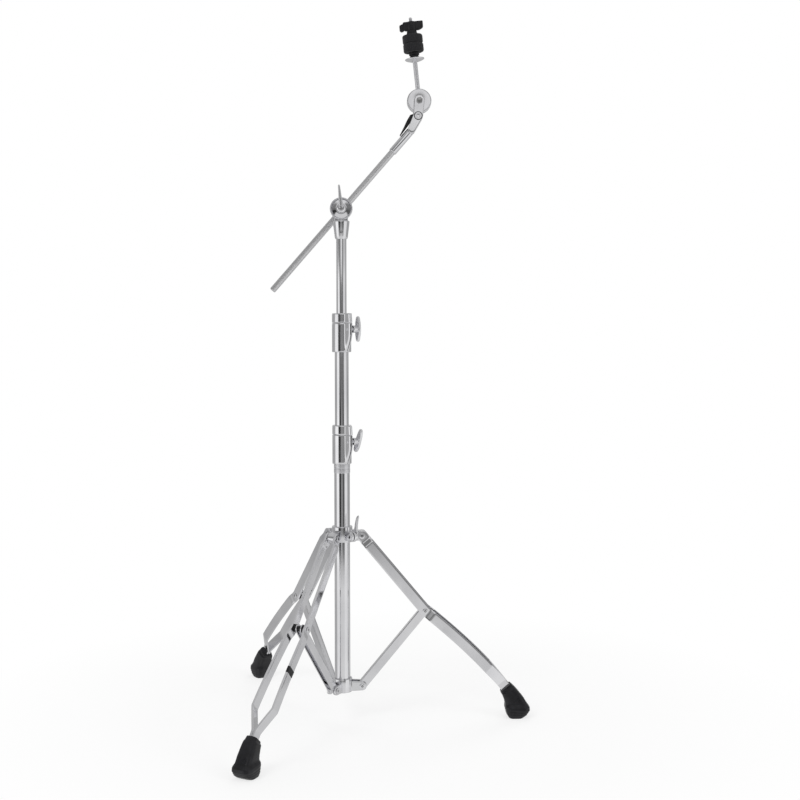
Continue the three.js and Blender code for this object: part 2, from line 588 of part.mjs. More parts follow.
// The sliding collar that carries the legs, split beside its clamping bolt.
function legCollar() {
  const bottom = LEG_PIVOT_HEIGHT - LEG_COLLAR_BELOW;
  const top = LEG_PIVOT_HEIGHT + LEG_COLLAR_ABOVE;
  const earHalf = LEG_EAR_THICKNESS / 2;
  const ears = atEachLeg(strap(
    [BASE_TUBE_RADIUS, LEG_PIVOT_HEIGHT + 1, EAR_RADIUS + 1.5],
    [PIVOT_RADIUS, LEG_PIVOT_HEIGHT, EAR_RADIUS],
    -earHalf, earHalf,
  ).subtract(disc(PIVOT_RADIUS, LEG_PIVOT_HEIGHT, PIN_HOLE, -LEG_EAR_THICKNESS, LEG_EAR_THICKNESS)));
  const bossHeight = LEG_PIVOT_HEIGHT + COLLAR_BOSS_HEIGHT;
  const bossHalf = COLLAR_BOSS_THICKNESS / 2;
  const boss = strap(
    [0, bossHeight, COLLAR_BOSS_RADIUS], [COLLAR_BOSS_REACH, bossHeight, COLLAR_BOSS_RADIUS],
    -bossHalf, bossHalf,
  )
    .subtract(disc(COLLAR_BOSS_REACH, bossHeight, BOLT_RADIUS + PIN_FIT, -bossHalf * 2, bossHalf * 2))
    .rotate([0, 0, LUG_AZIMUTH]);
  const split = block([0, -SPLIT / 2, bottom - 1], [COLLAR_BOSS_REACH * 2, SPLIT / 2, top + 1])
    .rotate([0, 0, LUG_AZIMUTH]);
  const ring = bar(BASE_TUBE_RADIUS + COLLAR_WALL, bottom, top, ROUND);
  return [...ears, boss].reduce((solid, part) => solid.add(part), ring)
    .subtract(bar(BASE_TUBE_RADIUS + FIT + 0.1, bottom - 1, top + 1, ROUND))
    .subtract(split);
}

// The collar's clamping bolt, with one long thumb lever that stands up at rest.
function collarBolt() {
  const bossHalf = COLLAR_BOSS_THICKNESS / 2;
  const hubEnd = bossHalf + FIT + COLLAR_HUB_LENGTH;
  const stem = alongY(turned([
    [0, 1.5 - bossHalf], [BOLT_RADIUS, 1.5 - bossHalf], [BOLT_RADIUS, bossHalf + FIT],
    [WING_HUB_RADIUS, bossHalf + FIT], [WING_HUB_RADIUS * 0.85, hubEnd], [0, hubEnd],
  ], FINE));
  const lever = strap([0, 0, WING_HUB_RADIUS - 1], [0, COLLAR_LEVER_REACH - 4, 4], hubEnd - 4, hubEnd);
  return stem.add(lever);
}

function foldingBase() {
  const bolt = piece('leg_collar_bolt', collarBolt(), CHROME);
  bolt.position.set(COLLAR_BOSS_REACH, 0, LEG_PIVOT_HEIGHT + COLLAR_BOSS_HEIGHT);
  const boltGroup = groupOf(bolt);
  boltGroup.rotation.z = radians(LUG_AZIMUTH);
  return groupOf(
    piece('strut_collar', strutCollar(), CHROME),
    piece('leg_collar', legCollar(), CHROME),
    boltGroup,
    ...legNumbers.map(leg),
  );
}

// ---- Boom tilter: Z = 0 is the tilt axis, which lies along Y ----

function boomBracket() {
  const footHeight = -BRACKET_PIVOT;
  const neckHeight = footHeight + BRACKET_TAPER;
  const taper = turned([
    [0, footHeight], [BRACKET_FOOT_RADIUS, footHeight], [BRACKET_NECK_RADIUS, neckHeight], [0, neckHeight],
  ]);
  const neck = block([-BRACKET_NECK_RADIUS * 0.8, -BRACKET_HALF_DEPTH, neckHeight - 1],
    [BRACKET_NECK_RADIUS * 0.8, BRACKET_HALF_DEPTH, 0]);
  return taper
    .add(neck)
    .add(disc(0, 0, BRACKET_HEAD_RADIUS, -BRACKET_HALF_DEPTH, BRACKET_HALF_DEPTH, ROUND))
    .subtract(bar(UPPER_TUBE_RADIUS + FIT, footHeight - 1, footHeight + BRACKET_SOCKET + FIT, ROUND))
    .subtract(disc(0, 0, TILT_BOLT_RADIUS + PIN_FIT, -BRACKET_HALF_DEPTH * 2, BRACKET_HALF_DEPTH * 2))
    .subtract(disc(0, footHeight + BRACKET_SCREW_HEIGHT, BRACKET_SCREW_RADIUS + FIT,
      -BRACKET_NECK_RADIUS * 2, -UPPER_TUBE_RADIUS));
}

// The dished front disc, the tilt bolt and the nut with its one long blade in front of the bracket.
function tiltFastening() {
  const discBack = -BRACKET_HALF_DEPTH - FIT;
  const discFront = discBack - DISC_DEPTH;
  const bore = TILT_BOLT_RADIUS + PIN_FIT;
  const frontDisc = alongY(turned([
    [bore, discBack], [DISC_RADIUS, discBack], [DISC_RADIUS, discFront + 1], [DISC_RADIUS - 1, discFront],
    [DISC_RADIUS - 3, discFront], [DISC_RADIUS - 5, discFront + 2], [bore, discFront + 2], [bore, discBack],
  ]));
  const nutBack = discFront + 2 - FIT;
  const nutFront = nutBack - NUT_DEPTH;
  const hub = alongY(turned([
    [0, nutFront], [NUT_HUB_RADIUS * 0.75, nutFront], [NUT_HUB_RADIUS, nutFront + 3],
    [NUT_HUB_RADIUS, nutBack], [0, nutBack],
  ], FINE));
  const root = NUT_BLADE_ROOT / 2;
  const tip = NUT_BLADE_TIP / 2;
  const blade = plate([
    [-tip, NUT_REACH], [-root, NUT_HUB_RADIUS], [-root, 0],
    [root, 0], [root, NUT_HUB_RADIUS], [tip, NUT_REACH],
  ], nutFront, -BRACKET_NECK_RADIUS - 2 * FIT);
  const wingNut = hub.add(blade)
    .subtract(disc(0, 0, bore, nutFront + 2, 0))
    .rotate([0, NUT_LEAN, 0]);
  const boltEnd = BRACKET_HALF_DEPTH + HOLDER_DISC_DEPTH - 1;
  return {
    frontDisc,
    wingNut,
    bolt: disc(0, 0, TILT_BOLT_RADIUS, nutFront + 2 + FIT, boltEnd),
  };
}

function boomTilter() {
  const { frontDisc, wingNut, bolt } = tiltFastening();
  const screwEnd = -UPPER_TUBE_RADIUS - FIT;
  const screwHeight = BRACKET_SCREW_HEIGHT - BRACKET_PIVOT;
  const screw = disc(0, screwHeight, BRACKET_SCREW_RADIUS, -BRACKET_FOOT_RADIUS, screwEnd);
  const tilter = groupOf(
    piece('boom_bracket', boomBracket(), CHROME),
    piece('boom_bracket_screw', screw, KNURLED_STEEL),
    piece('boom_tilter_disc', frontDisc, CHROME),
    piece('boom_tilter_bolt', bolt, KNURLED_STEEL),
    piece('boom_wing_nut', wingNut, CHROME),
  );
  tilter.position.z = PIVOT_HEIGHT;
  return tilter;
}

// ---- Boom: X runs up the boom, Z is square to it, and the origin is below the tilt axis ----

function boomHolder() {
  const half = HOLDER_HALF_DEPTH;
  const bore = BOOM_BUSH_RADIUS + FIT;
  const discBack = -half;
  const discFront = discBack - HOLDER_DISC_DEPTH;
  const round = alongX(bar(half, -HOLDER_HALF_LENGTH, HOLDER_HALF_LENGTH, ROUND));
  const cheek = block([-HOLDER_HALF_LENGTH + 2, -half, -half], [HOLDER_HALF_LENGTH - 2, 0, half]);
  return round
    .add(cheek)
    .add(disc(0, BOOM_DROP, HOLDER_DISC_RADIUS, discFront, discBack + 1, ROUND))
    .subtract(alongX(bar(bore, -HOLDER_HALF_LENGTH * 2, HOLDER_HALF_LENGTH * 2, ROUND)))
    .subtract(disc(0, BOOM_DROP, TILT_BOLT_RADIUS + FIT, discFront - 1, discBack));
}

function boomTubes() {
  const bushHalf = HOLDER_HALF_LENGTH - 1;
  const rodEnd = SLEEVE_START + BOOM_IN_SLEEVE;
  const rod = turned([
    [0, -BOOM_TAIL], [BOOM_RADIUS - 1.5, -BOOM_TAIL], [BOOM_RADIUS, 1.5 - BOOM_TAIL],
    [BOOM_RADIUS, rodEnd], [0, rodEnd],
  ], ROUND);
  return [
    piece('boom_holder', boomHolder(), CHROME),
    piece('boom_bush', alongX(tube(BOOM_RADIUS + FIT, BOOM_BUSH_RADIUS, -bushHalf, bushHalf)), BLACK_NYLON),
    piece('boom_rod', alongX(rod), KNURLED_STEEL),
    piece('boom_sleeve', alongX(tube(BOOM_RADIUS + FIT, SLEEVE_RADIUS, SLEEVE_START, SLEEVE_END)), CHROME),
  ];
}

// ---- Cymbal tilter ----

// The forked base: two cheeks round the wheel, a slot for the lever and a spigot in the sleeve.
function tilterBase() {
  const wheel = [WHEEL_ALONG, WHEEL_ACROSS, CHEEK_HUB_RADIUS];
  const lever = [LEVER_PIVOT_ALONG, LEVER_PIVOT_ACROSS, LEVER_NECK_RADIUS];
  const neck = [SLEEVE_END + FIT + SLEEVE_RADIUS - 1, 0, SLEEVE_RADIUS - 0.4];
  const slotHalf = LEVER_HALF_DEPTH + FIT;
  const slot = block([-LEVER_HUB_RADIUS * 2, -slotHalf, -LEVER_HUB_RADIUS - FIT],
    [LEVER_HUB_RADIUS + FIT, slotHalf, LEVER_NECK_RADIUS * 3])
    .translate([LEVER_PIVOT_ALONG, 0, LEVER_PIVOT_ACROSS]);
  const far = CHEEK_FACE * 2;
  const spigotEnd = SLEEVE_END - SPIGOT_LENGTH;
  const pivotHole = TILT_BOLT_RADIUS + PIN_FIT;
  const neckSlot = block(
    [SLEEVE_END, -slotHalf, SLEEVE_RADIUS + FIT], [LEVER_PIVOT_ALONG, slotHalf, WHEEL_ALONG],
  );
  return strap(lever, wheel, -CHEEK_FACE, CHEEK_FACE)
    .add(strap(neck, lever, -CHEEK_FACE, CHEEK_FACE))
    .subtract(disc(WHEEL_ALONG, WHEEL_ACROSS, WHEEL_RADIUS + FIT * 2, -WHEEL_HALF_DEPTH - FIT,
      WHEEL_HALF_DEPTH + FIT, ROUND))
    .subtract(slot)
    .subtract(neckSlot)
    .subtract(block([0, -far, -far], [SLEEVE_END + FIT, far, far]))
    .add(alongX(bar(BOOM_RADIUS, spigotEnd, SLEEVE_END + 4, ROUND)))
    .subtract(disc(WHEEL_ALONG, WHEEL_ACROSS, pivotHole, -far, far))
    .subtract(disc(LEVER_PIVOT_ALONG, LEVER_PIVOT_ACROSS, LEVER_BOLT_RADIUS + PIN_FIT, -far, far));
}

// The release lever: a hub on its pivot and a blade that lies along the sleeve.
function tilterLever() {
  const clear = SLEEVE_RADIUS + FIT * 2;
  const blade = plate([
    [LEVER_PIVOT_ALONG - 4, LEVER_PIVOT_ACROSS + 3], [LEVER_PIVOT_ALONG + 3, LEVER_PIVOT_ACROSS + 4],
    [LEVER_PIVOT_ALONG - 3, LEVER_PIVOT_ACROSS + 11], [LEVER_PIVOT_ALONG - 6, LEVER_PIVOT_ACROSS + 13],
    [LEVER_PIVOT_ALONG - 20, LEVER_PIVOT_ACROSS + 10.5], [LEVER_PIVOT_ALONG - 48, clear + 1.8],
    [LEVER_PIVOT_ALONG - 48.6, clear], [LEVER_PIVOT_ALONG - 15, clear + 2.4],
  ], -LEVER_HALF_DEPTH, LEVER_HALF_DEPTH);
  const pivot = [LEVER_PIVOT_ALONG, LEVER_PIVOT_ACROSS];
  return blade
    .add(disc(...pivot, LEVER_HUB_RADIUS, -LEVER_HALF_DEPTH, LEVER_HALF_DEPTH))
    .subtract(disc(...pivot, LEVER_BOLT_RADIUS + PIN_FIT, -CHEEK_FACE, CHEEK_FACE));
}

// A bolt along Y through both cheeks, with a head in front.
function cheekBolt(radius, headRadius, headHeight, sides) {
  const face = -CHEEK_FACE - FIT;
  return disc(0, 0, radius, face, CHEEK_FACE + 1)
    .add(disc(0, 0, headRadius, face - headHeight, face, sides));
}

// ---- Cymbal seat: Z runs up the cymbal rod from the wheel's centre ----

function wheel() {
  return disc(0, 0, WHEEL_RADIUS, -WHEEL_HALF_DEPTH, WHEEL_HALF_DEPTH, ROUND)
    .subtract(disc(0, 0, TILT_BOLT_RADIUS + PIN_FIT, -WHEEL_RADIUS, WHEEL_RADIUS))
    .subtract(bar(CYMBAL_ROD_RADIUS + FIT, CYMBAL_ROD_FOOT - FIT, WHEEL_RADIUS * 2));
}

function cymbalRod() {
  return turned([
    [0, CYMBAL_ROD_FOOT], [CYMBAL_ROD_RADIUS, CYMBAL_ROD_FOOT], [CYMBAL_ROD_RADIUS, CYMBAL_ROD_SHOULDER],
    [ROD_THREAD_RADIUS, CYMBAL_ROD_SHOULDER + 1], [ROD_THREAD_RADIUS, CYMBAL_ROD_TIP - 1],
    [ROD_THREAD_RADIUS - 1, CYMBAL_ROD_TIP], [0, CYMBAL_ROD_TIP],
  ], FINE);
}

function cupWasher() {
  const bore = CYMBAL_ROD_RADIUS + FIT;
  const rimTop = CUP_BOTTOM + CUP_HEIGHT;
  return turned([
    [bore, CUP_BOTTOM], [8, CUP_BOTTOM], [14.5, CUP_BOTTOM + 2], [CUP_RADIUS, rimTop - CUP_METAL],
    [CUP_RADIUS, rimTop], [14, CUP_BOTTOM + 2 + CUP_METAL], [8, CUP_BOTTOM + CUP_METAL],
    [bore, CUP_BOTTOM + CUP_METAL], [bore, CUP_BOTTOM],
  ]);
}

function seatSleeve() {
  const bore = CYMBAL_ROD_RADIUS + FIT;
  const bottom = CUP_BOTTOM + CUP_METAL + FIT;
  return turned([
    [bore, bottom], [7.5, bottom], [SEAT_FLANGE_RADIUS, bottom + 3], [SEAT_FLANGE_RADIUS, SEAT_FLANGE_TOP],
    [SEAT_SLEEVE_RADIUS, SEAT_FLANGE_TOP], [SEAT_SLEEVE_RADIUS, SEAT_SLEEVE_TOP], [bore, SEAT_SLEEVE_TOP],
    [bore, bottom],
  ]);
}

function felt(bottom) {
  const top = bottom + FELT_HEIGHT;
  const bore = SEAT_SLEEVE_RADIUS + FIT;
  return turned([
    [bore, bottom], [FELT_RADIUS - FELT_EDGE, bottom], [FELT_RADIUS, bottom + FELT_EDGE],
    [FELT_RADIUS, top - FELT_EDGE], [FELT_RADIUS - FELT_EDGE, top], [bore, top], [bore, bottom],
  ]);
}

function cymbalWingNut(bottom) {
  const neckTop = bottom + WING_NUT_NECK;
  const top = neckTop + WING_NUT_HEIGHT;
  const body = turned([
    [0, bottom], [WING_NUT_NECK_RADIUS, bottom], [WING_NUT_NECK_RADIUS - 1.5, neckTop],
    [WING_NUT_HUB_RADIUS, neckTop], [WING_NUT_HUB_RADIUS, top], [0, top],
  ], FINE);
  const wings = plate([
    [-WING_NUT_REACH, neckTop + 4], [-WING_NUT_REACH + 3, neckTop + 1], [WING_NUT_REACH - 3, neckTop + 1],
    [WING_NUT_REACH, neckTop + 4], [WING_NUT_REACH, top - 1], [WING_NUT_REACH - 2, top],
    [2 - WING_NUT_REACH, top], [-WING_NUT_REACH, top - 1],
  ], -WING_NUT_THICKNESS / 2, WING_NUT_THICKNESS / 2);
  return body.add(wings)
    .subtract(bar(CYMBAL_ROD_RADIUS + FIT * 2, bottom - 1, CYMBAL_ROD_SHOULDER + 2))
    .subtract(bar(ROD_THREAD_RADIUS + PIN_FIT, bottom - 1, top + 1));
}

function cymbalSeat() {
  const lowerFelt = SEAT_FLANGE_TOP + FIT;
  const upperFelt = lowerFelt + FELT_HEIGHT + FIT;
  const nut = upperFelt + FELT_HEIGHT + FIT;
  const seat = groupOf(
    piece('tilter_wheel', wheel(), CHROME),
    piece('cymbal_rod', cymbalRod(), CHROME),
    piece('cymbal_cup_washer', cupWasher(), CHROME),
    piece('cymbal_sleeve', seatSleeve(), BLACK_NYLON),
    piece('cymbal_lower_felt', felt(lowerFelt), BLACK_FELT),
    piece('cymbal_upper_felt', felt(upperFelt), BLACK_FELT),
    piece('cymbal_wing_nut', cymbalWingNut(nut), BLACK_NYLON),
  );
  seat.position.set(WHEEL_ALONG, 0, WHEEL_ACROSS);
  seat.rotation.y = radians(90 - CYMBAL_ROD_ANGLE);
  return seat;
}

function boom() {
  const wheelBolt = piece('tilter_pivot_bolt', cheekBolt(TILT_BOLT_RADIUS, 6, 4, 6), KNURLED_STEEL);
  wheelBolt.position.set(WHEEL_ALONG, 0, WHEEL_ACROSS);
  const leverBolt = piece('tilter_lever_bolt', cheekBolt(LEVER_BOLT_RADIUS, 6.6, 3, FINE), CHROME);
  leverBolt.position.set(LEVER_PIVOT_ALONG, 0, LEVER_PIVOT_ACROSS);
  const whole = groupOf(
    ...boomTubes(),
    piece('tilter_base', tilterBase(), CHROME),
    piece('tilter_lever', tilterLever(), BLACK_NYLON),
    wheelBolt,
    leverBolt,
    cymbalSeat(),
  );
  const elevation = radians(BOOM_ELEVATION);
  whole.position.set(
    BOOM_DROP * Math.sin(elevation), BOOM_SETBACK, PIVOT_HEIGHT - BOOM_DROP * Math.cos(elevation),
  );
  whole.rotation.y = -elevation;
  return whole;
}

// ---- The stand ----

const stand = groupOf(
  tubes(),
  heightClamp('base', BASE_TUBE_RADIUS, MIDDLE_TUBE_RADIUS, BASE_TUBE_TOP, BASE_WING_TURN),
  heightClamp('middle', MIDDLE_TUBE_RADIUS, UPPER_TUBE_RADIUS, MIDDLE_TUBE_TOP, MIDDLE_WING_TURN),
  foldingBase(),
  boomTilter(),
  boom(),
);
const box = new THREE.Box3().setFromObject(stand, true);
const middle = box.getCenter(new THREE.Vector3());
stand.position.set(-middle.x, -middle.y, -box.min.z);

export default stand;
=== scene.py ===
"""Cymbal boom stand: chromed tubes on a folding tripod, a tilting boom and a cymbal seat.

Sizes of the pieces are in millimetres, in the stand's own axes: Z up the tubes from the floor, X
towards the side leg. MM turns them into metres, and every finished object stands at the origin.
"""

import logging
import math
from dataclasses import dataclass, field
from enum import Enum
from typing import Callable, Iterable, Sequence

import bmesh
import bpy
import numpy as np
from mathutils import Matrix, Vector
from numpy.typing import NDArray


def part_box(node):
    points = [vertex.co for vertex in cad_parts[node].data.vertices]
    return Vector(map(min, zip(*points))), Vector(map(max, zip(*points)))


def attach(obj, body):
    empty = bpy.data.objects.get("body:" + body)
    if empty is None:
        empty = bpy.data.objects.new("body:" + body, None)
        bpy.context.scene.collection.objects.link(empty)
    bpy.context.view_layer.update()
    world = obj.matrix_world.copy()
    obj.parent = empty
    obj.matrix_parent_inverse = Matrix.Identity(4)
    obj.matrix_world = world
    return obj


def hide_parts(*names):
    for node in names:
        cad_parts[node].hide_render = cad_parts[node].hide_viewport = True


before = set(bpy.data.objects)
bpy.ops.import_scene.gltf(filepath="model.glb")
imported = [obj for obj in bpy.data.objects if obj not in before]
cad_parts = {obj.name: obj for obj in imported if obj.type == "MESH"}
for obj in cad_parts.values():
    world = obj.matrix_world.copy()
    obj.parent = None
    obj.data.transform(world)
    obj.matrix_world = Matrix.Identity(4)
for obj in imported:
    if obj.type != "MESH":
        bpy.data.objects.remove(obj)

LOG = logging.getLogger("cymbal_boom_stand")
MM = 0.001
Array = NDArray[np.float64]
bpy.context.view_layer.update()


# ---------------------------------------------------------------- surfaces


@dataclass
class Shell:
    """A closed surface on a grid of rows and columns, the columns running round it.

    Attributes:
        rows: Points of shape (rows, columns, 3), in millimetres.
        ring: Whether the last row joins the first, as on a tube with a bore.
    """

    rows: Array
    ring: bool = False

    def placed(self, matrix: Array) -> "Shell":
        """The same surface with each point p carried to matrix times p.

        Args:
            matrix: A 4 by 4 placement.

        Returns:
            The carried surface.
        """
        return Shell(self.rows @ matrix[:3, :3].T + matrix[:3, 3], self.ring)

    def quads(self) -> Array:
        """Corner numbers of the faces, each between two rows and two columns.

        Returns:
            An array of shape (faces, 4).
        """
        count, across = self.rows.shape[:2]
        last = count if self.ring else count - 1
        i, j = np.meshgrid(np.arange(last), np.arange(across), indexing="ij")
        below, beside = (i + 1) % count, (j + 1) % across
        corners = (i * across + j, i * across + beside, below * across + beside, below * across + j)
        return np.stack(corners, axis=-1).reshape(-1, 4)

    def outward(self) -> Array:
        """The faces wound so that they point out of the solid.

        The sign comes from the volume that the faces enclose: the sum of the triple products of
        their corners, which is negative when they point inwards.

        Returns:
            An array of shape (faces, 4).
        """
        quads = self.quads()
        a, b, c, d = (self.rows.reshape(-1, 3)[quads[:, k]] for k in range(4))
        volume = np.einsum("ij,ij->", a, np.cross(b, c)) + np.einsum("ij,ij->", a, np.cross(c, d))
        return quads if volume > 0 else quads[:, ::-1]

    def unwrapped(self) -> Array:
        """Texture positions in metres: round the widest row, and along the rows.

        Returns:
            An array of shape (faces, 4, 2) in the order of quads.
        """
        count, across = self.rows.shape[:2]
        steps = np.linalg.norm(np.diff(self.rows, axis=0, append=self.rows[:1]), axis=2)
        along = np.concatenate([[0.0], np.cumsum(steps.max(axis=1))]) * MM
        turns = np.linalg.norm(np.roll(self.rows, -1, axis=1) - self.rows, axis=2).sum(axis=1).max() * MM
        last = count if self.ring else count - 1
        i, j = np.meshgrid(np.arange(last), np.arange(across), indexing="ij")
        u, v = j / across * turns, along[i]
        u_next, v_next = (j + 1) / across * turns, along[i + 1]
        corners = [(u, v), (u_next, v), (u_next, v_next), (u, v_next)]
        return np.stack([np.stack(pair, axis=-1) for pair in corners], axis=2).reshape(-1, 4, 2)


def eased(corners: Sequence[Sequence[float]], radius: float | Sequence[float], steps: int = 5,
          closed: bool = True) -> Array:
    """An outline with each corner eased by a short quadratic curve.

    A corner c between its neighbours a and b is replaced by the curve
    (1-t)^2 p + 2t(1-t) c + t^2 q, where p and q lie on the two sides at the easing radius from
    c, or at 0.45 of the side if that is less.

    Args:
        corners: The outline's corners.
        radius: The easing radius of all corners, or one for each.
        steps: Points on each eased corner.
        closed: Whether the outline is a loop; the ends of an open one stay sharp.

    Returns:
        Points of shape (corners * steps, 2).
    """
    points = np.asarray(corners, float)
    before, after = np.roll(points, 1, axis=0) - points, np.roll(points, -1, axis=0) - points
    radii = np.broadcast_to(np.asarray(radius, float), len(points)).copy()
    if not closed:
        radii[[0, -1]] = 0.0
    reach = [np.maximum(np.linalg.norm(side, axis=1), 1e-9) for side in (before, after)]
    cut = np.minimum(radii, 0.45 * np.minimum(*reach))
    start = points + before * (cut / reach[0])[:, None]
    end = points + after * (cut / reach[1])[:, None]
    t = np.linspace(0, 1, steps)[None, :, None]
    curve = (1 - t) ** 2 * start[:, None] + 2 * t * (1 - t) * points[:, None] + t ** 2 * end[:, None]
    return curve.reshape(-1, points.shape[1])


def turned(profile: Sequence[Sequence[float]], ease: float | Sequence[float] = 0.4, sides: int = 72,
           ring: bool = False, steps: int = 5) -> Shell:
    """A solid of revolution about Z.

    The point at profile corner (r, h) and turn a is (r cos a, r sin a, h).

    Args:
        profile: Corners as (radius, height); an open profile starts and ends on the axis.
        ease: Easing radius of its corners.
        sides: Columns round the axis.
        ring: Whether the profile is a loop that stays off the axis.
        steps: Points on each eased corner.

    Returns:
        The surface.
    """
    outline = eased(profile, ease, steps, closed=ring)
    turn = np.linspace(0, 2 * np.pi, sides, endpoint=False)
    radius, height = outline[:, :1], outline[:, 1:]
    rows = np.stack([radius * np.cos(turn), radius * np.sin(turn), np.repeat(height, sides, axis=1)], axis=-1)
    return Shell(rows, ring)


def pipe(inner: float, outer: float, bottom: float, top: float, ease: float = 0.4, sides: int = 72) -> Shell:
    """A tube about Z with eased rims: a loop of four corners turned about the axis."""
    return turned([(inner, bottom), (outer, bottom), (outer, top), (inner, top)], ease, sides, ring=True)


def squircle(half_x: float, half_y: float, power: float, count: int = 40) -> Array:
    """A rounded rectangle |x/a|^p + |y/b|^p = 1 as points at even turns.

    Args:
        half_x: a, half its width.
        half_y: b, half its height.
        power: p, 2 for an ellipse and more for a squarer shape.
        count: Points round it.

    Returns:
        Points of shape (count, 2).
    """
    turn = np.linspace(0, 2 * np.pi, count, endpoint=False)
    cos, sin = np.cos(turn), np.sin(turn)
    bend = 2 / power
    return np.stack([half_x * np.sign(cos) * np.abs(cos) ** bend, half_y * np.sign(sin) * np.abs(sin) ** bend], -1)


def strip_section(half_width: float, half_thick: float, ease: float, across: int = 9, steps: int = 5) -> Array:
    """The section of a flat strip whose four edges are quarter circles.

    Args:
        half_width: Half its width.
        half_thick: Half its thickness.
        ease: Radius of the quarter circles.
        across: Points on each flat face.
        steps: Points on each edge.

    Returns:
        Points of shape (columns, 2), X as a share of the half width.
    """
    turn = np.linspace(0, np.pi / 2, steps)
    right_top = np.stack([half_width - ease + ease * np.sin(turn), half_thick - ease + ease * np.cos(turn)], -1)
    right_low = right_top[::-1] * [1, -1]
    flat = np.linspace(-1, 1, across)[1:-1] * (half_width - ease)
    top = np.stack([flat, np.full(len(flat), half_thick)], -1)
    half = np.concatenate([top, right_top, right_low])
    return np.concatenate([half, -half]) / [half_width, 1]


def carried(path: Array, side: Array, rise: Array, section: Array, spread: Array) -> Shell:
    """A section carried along a path.

    Row i is path_i + spread_i,0 x side_i + spread_i,1 y rise_i for the section's points (x, y);
    a first and a last row drawn together on the path close the ends.

    Args:
        path: Points of shape (rows, 3).
        side: The section's x direction at each row.
        rise: The section's y direction at each row.
        section: Points of shape (columns, 2).
        spread: The section's stretch at each row, of shape (rows, 2).

    Returns:
        The surface.
    """
    spread = np.concatenate([spread[:1] * 0, spread, spread[-1:] * 0])
    path, side, rise = (np.concatenate([a[:1], a, a[-1:]]) for a in (path, side, rise))
    across = spread[:, :1] * section[None, :, 0]
    up = spread[:, 1:] * section[None, :, 1]
    return Shell(path[:, None] + across[..., None] * side[:, None] + up[..., None] * rise[:, None])


def slab(outline: Array, back: float, front: float, ease: float = 0.5, crown: float = 0.0,
         hole: Sequence[float] | None = None) -> Shell:
    """A plate in the XZ plane with softened edges.

    The outline is carried along Y. Near each face it is drawn in along its own inward normals by
    ease (1 - sin t) while it moves ease (1 - cos t) towards the face, for t from 90 degrees to 0,
    and then drawn to its middle, which stands out by the crown, or to the rim of its hole, where
    each point lies straight inward of its point on the outline.

    Args:
        outline: Points (x, z) of a shape that its middle can see all of.
        back: Lower Y of the plate.
        front: Upper Y.
        ease: Softening radius of its edges.
        crown: Height of the middle of each face over its edge.
        hole: A round hole as (x, z, radius) instead of a closed middle.

    Returns:
        The surface.
    """
    middle = outline.mean(axis=0) if hole is None else np.array(hole[:2])
    ahead = np.roll(outline, -1, axis=0) - np.roll(outline, 1, axis=0)
    inward = np.stack([-ahead[:, 1], ahead[:, 0]], -1)
    inward /= np.maximum(np.linalg.norm(inward, axis=1, keepdims=True), 1e-9)
    shifted = outline - middle
    area = np.sum(shifted[:, 0] * np.roll(shifted[:, 1], -1) - np.roll(shifted[:, 0], -1) * shifted[:, 1])
    inward = inward if area > 0 else -inward
    angle = np.linspace(0, np.pi / 2, 5)
    draws = np.concatenate([ease * (1 - np.sin(angle)), ease * (1 - np.sin(angle[::-1]))])
    levels = np.concatenate([back + ease * (1 - np.cos(angle)), front - ease * (1 - np.cos(angle[::-1]))])
    rings = outline[None] + inward[None] * draws[:, None, None]
    if hole is not None:
        away = shifted / np.linalg.norm(shifted, axis=1, keepdims=True)
        rims = middle + away[None] * (hole[2] + np.array([0.4, 0.0, 0.0, 0.4]))[:, None, None]
        flat = np.concatenate([rings, rims])
        heights = np.concatenate([levels, [front, front - 0.4, back + 0.4, back]])
        depth = np.broadcast_to(heights[:, None], flat.shape[:2])
        return Shell(np.stack([flat[..., 0], depth, flat[..., 1]], -1), ring=True)
    share = np.array([0.0, 0.5, 0.85])[:, None, None]
    first, last = middle + (rings[0] - middle) * share, middle + (rings[-1] - middle) * share[::-1]
    dome = crown * (1 - np.array([0.0, 0.5, 0.85]) ** 2)
    heights = np.concatenate([back - dome, levels, front + dome[::-1]])
    flat = np.concatenate([first, rings, last])
    depth = np.broadcast_to(heights[:, None], flat.shape[:2])
    return Shell(np.stack([flat[..., 0], depth, flat[..., 1]], -1))


def strap_outline(start: Sequence[float], end: Sequence[float], steps: int = 20) -> Array:
    """The outline round two circles and their two common tangents.

    Args:
        start: First circle as (x, z, radius).
        end: Second circle.
        steps: Points on each arc.

    Returns:
        Points of shape (2 * steps, 2).
    """
    (x0, z0, r0), (x1, z1, r1) = start, end
    heading = math.atan2(z1 - z0, x1 - x0)
    lean = math.acos(max(-1.0, min(1.0, (r0 - r1) / math.hypot(x1 - x0, z1 - z0))))
    near = np.linspace(heading + lean, heading + 2 * math.pi - lean, steps)
    far = np.linspace(heading - lean, heading + lean, steps)
    arcs = [(x1, z1, r1, far), (x0, z0, r0, near)]
    return np.concatenate([np.stack([x + r * np.cos(a), z + r * np.sin(a)], -1) for x, z, r, a in arcs])


def strap(start: Sequence[float], end: Sequence[float], back: float, front: float, ease: float = 0.5) -> Shell:
    """A softened plate round two circles, given as (x, z, radius)."""
    return slab(strap_outline(start, end), back, front, ease)


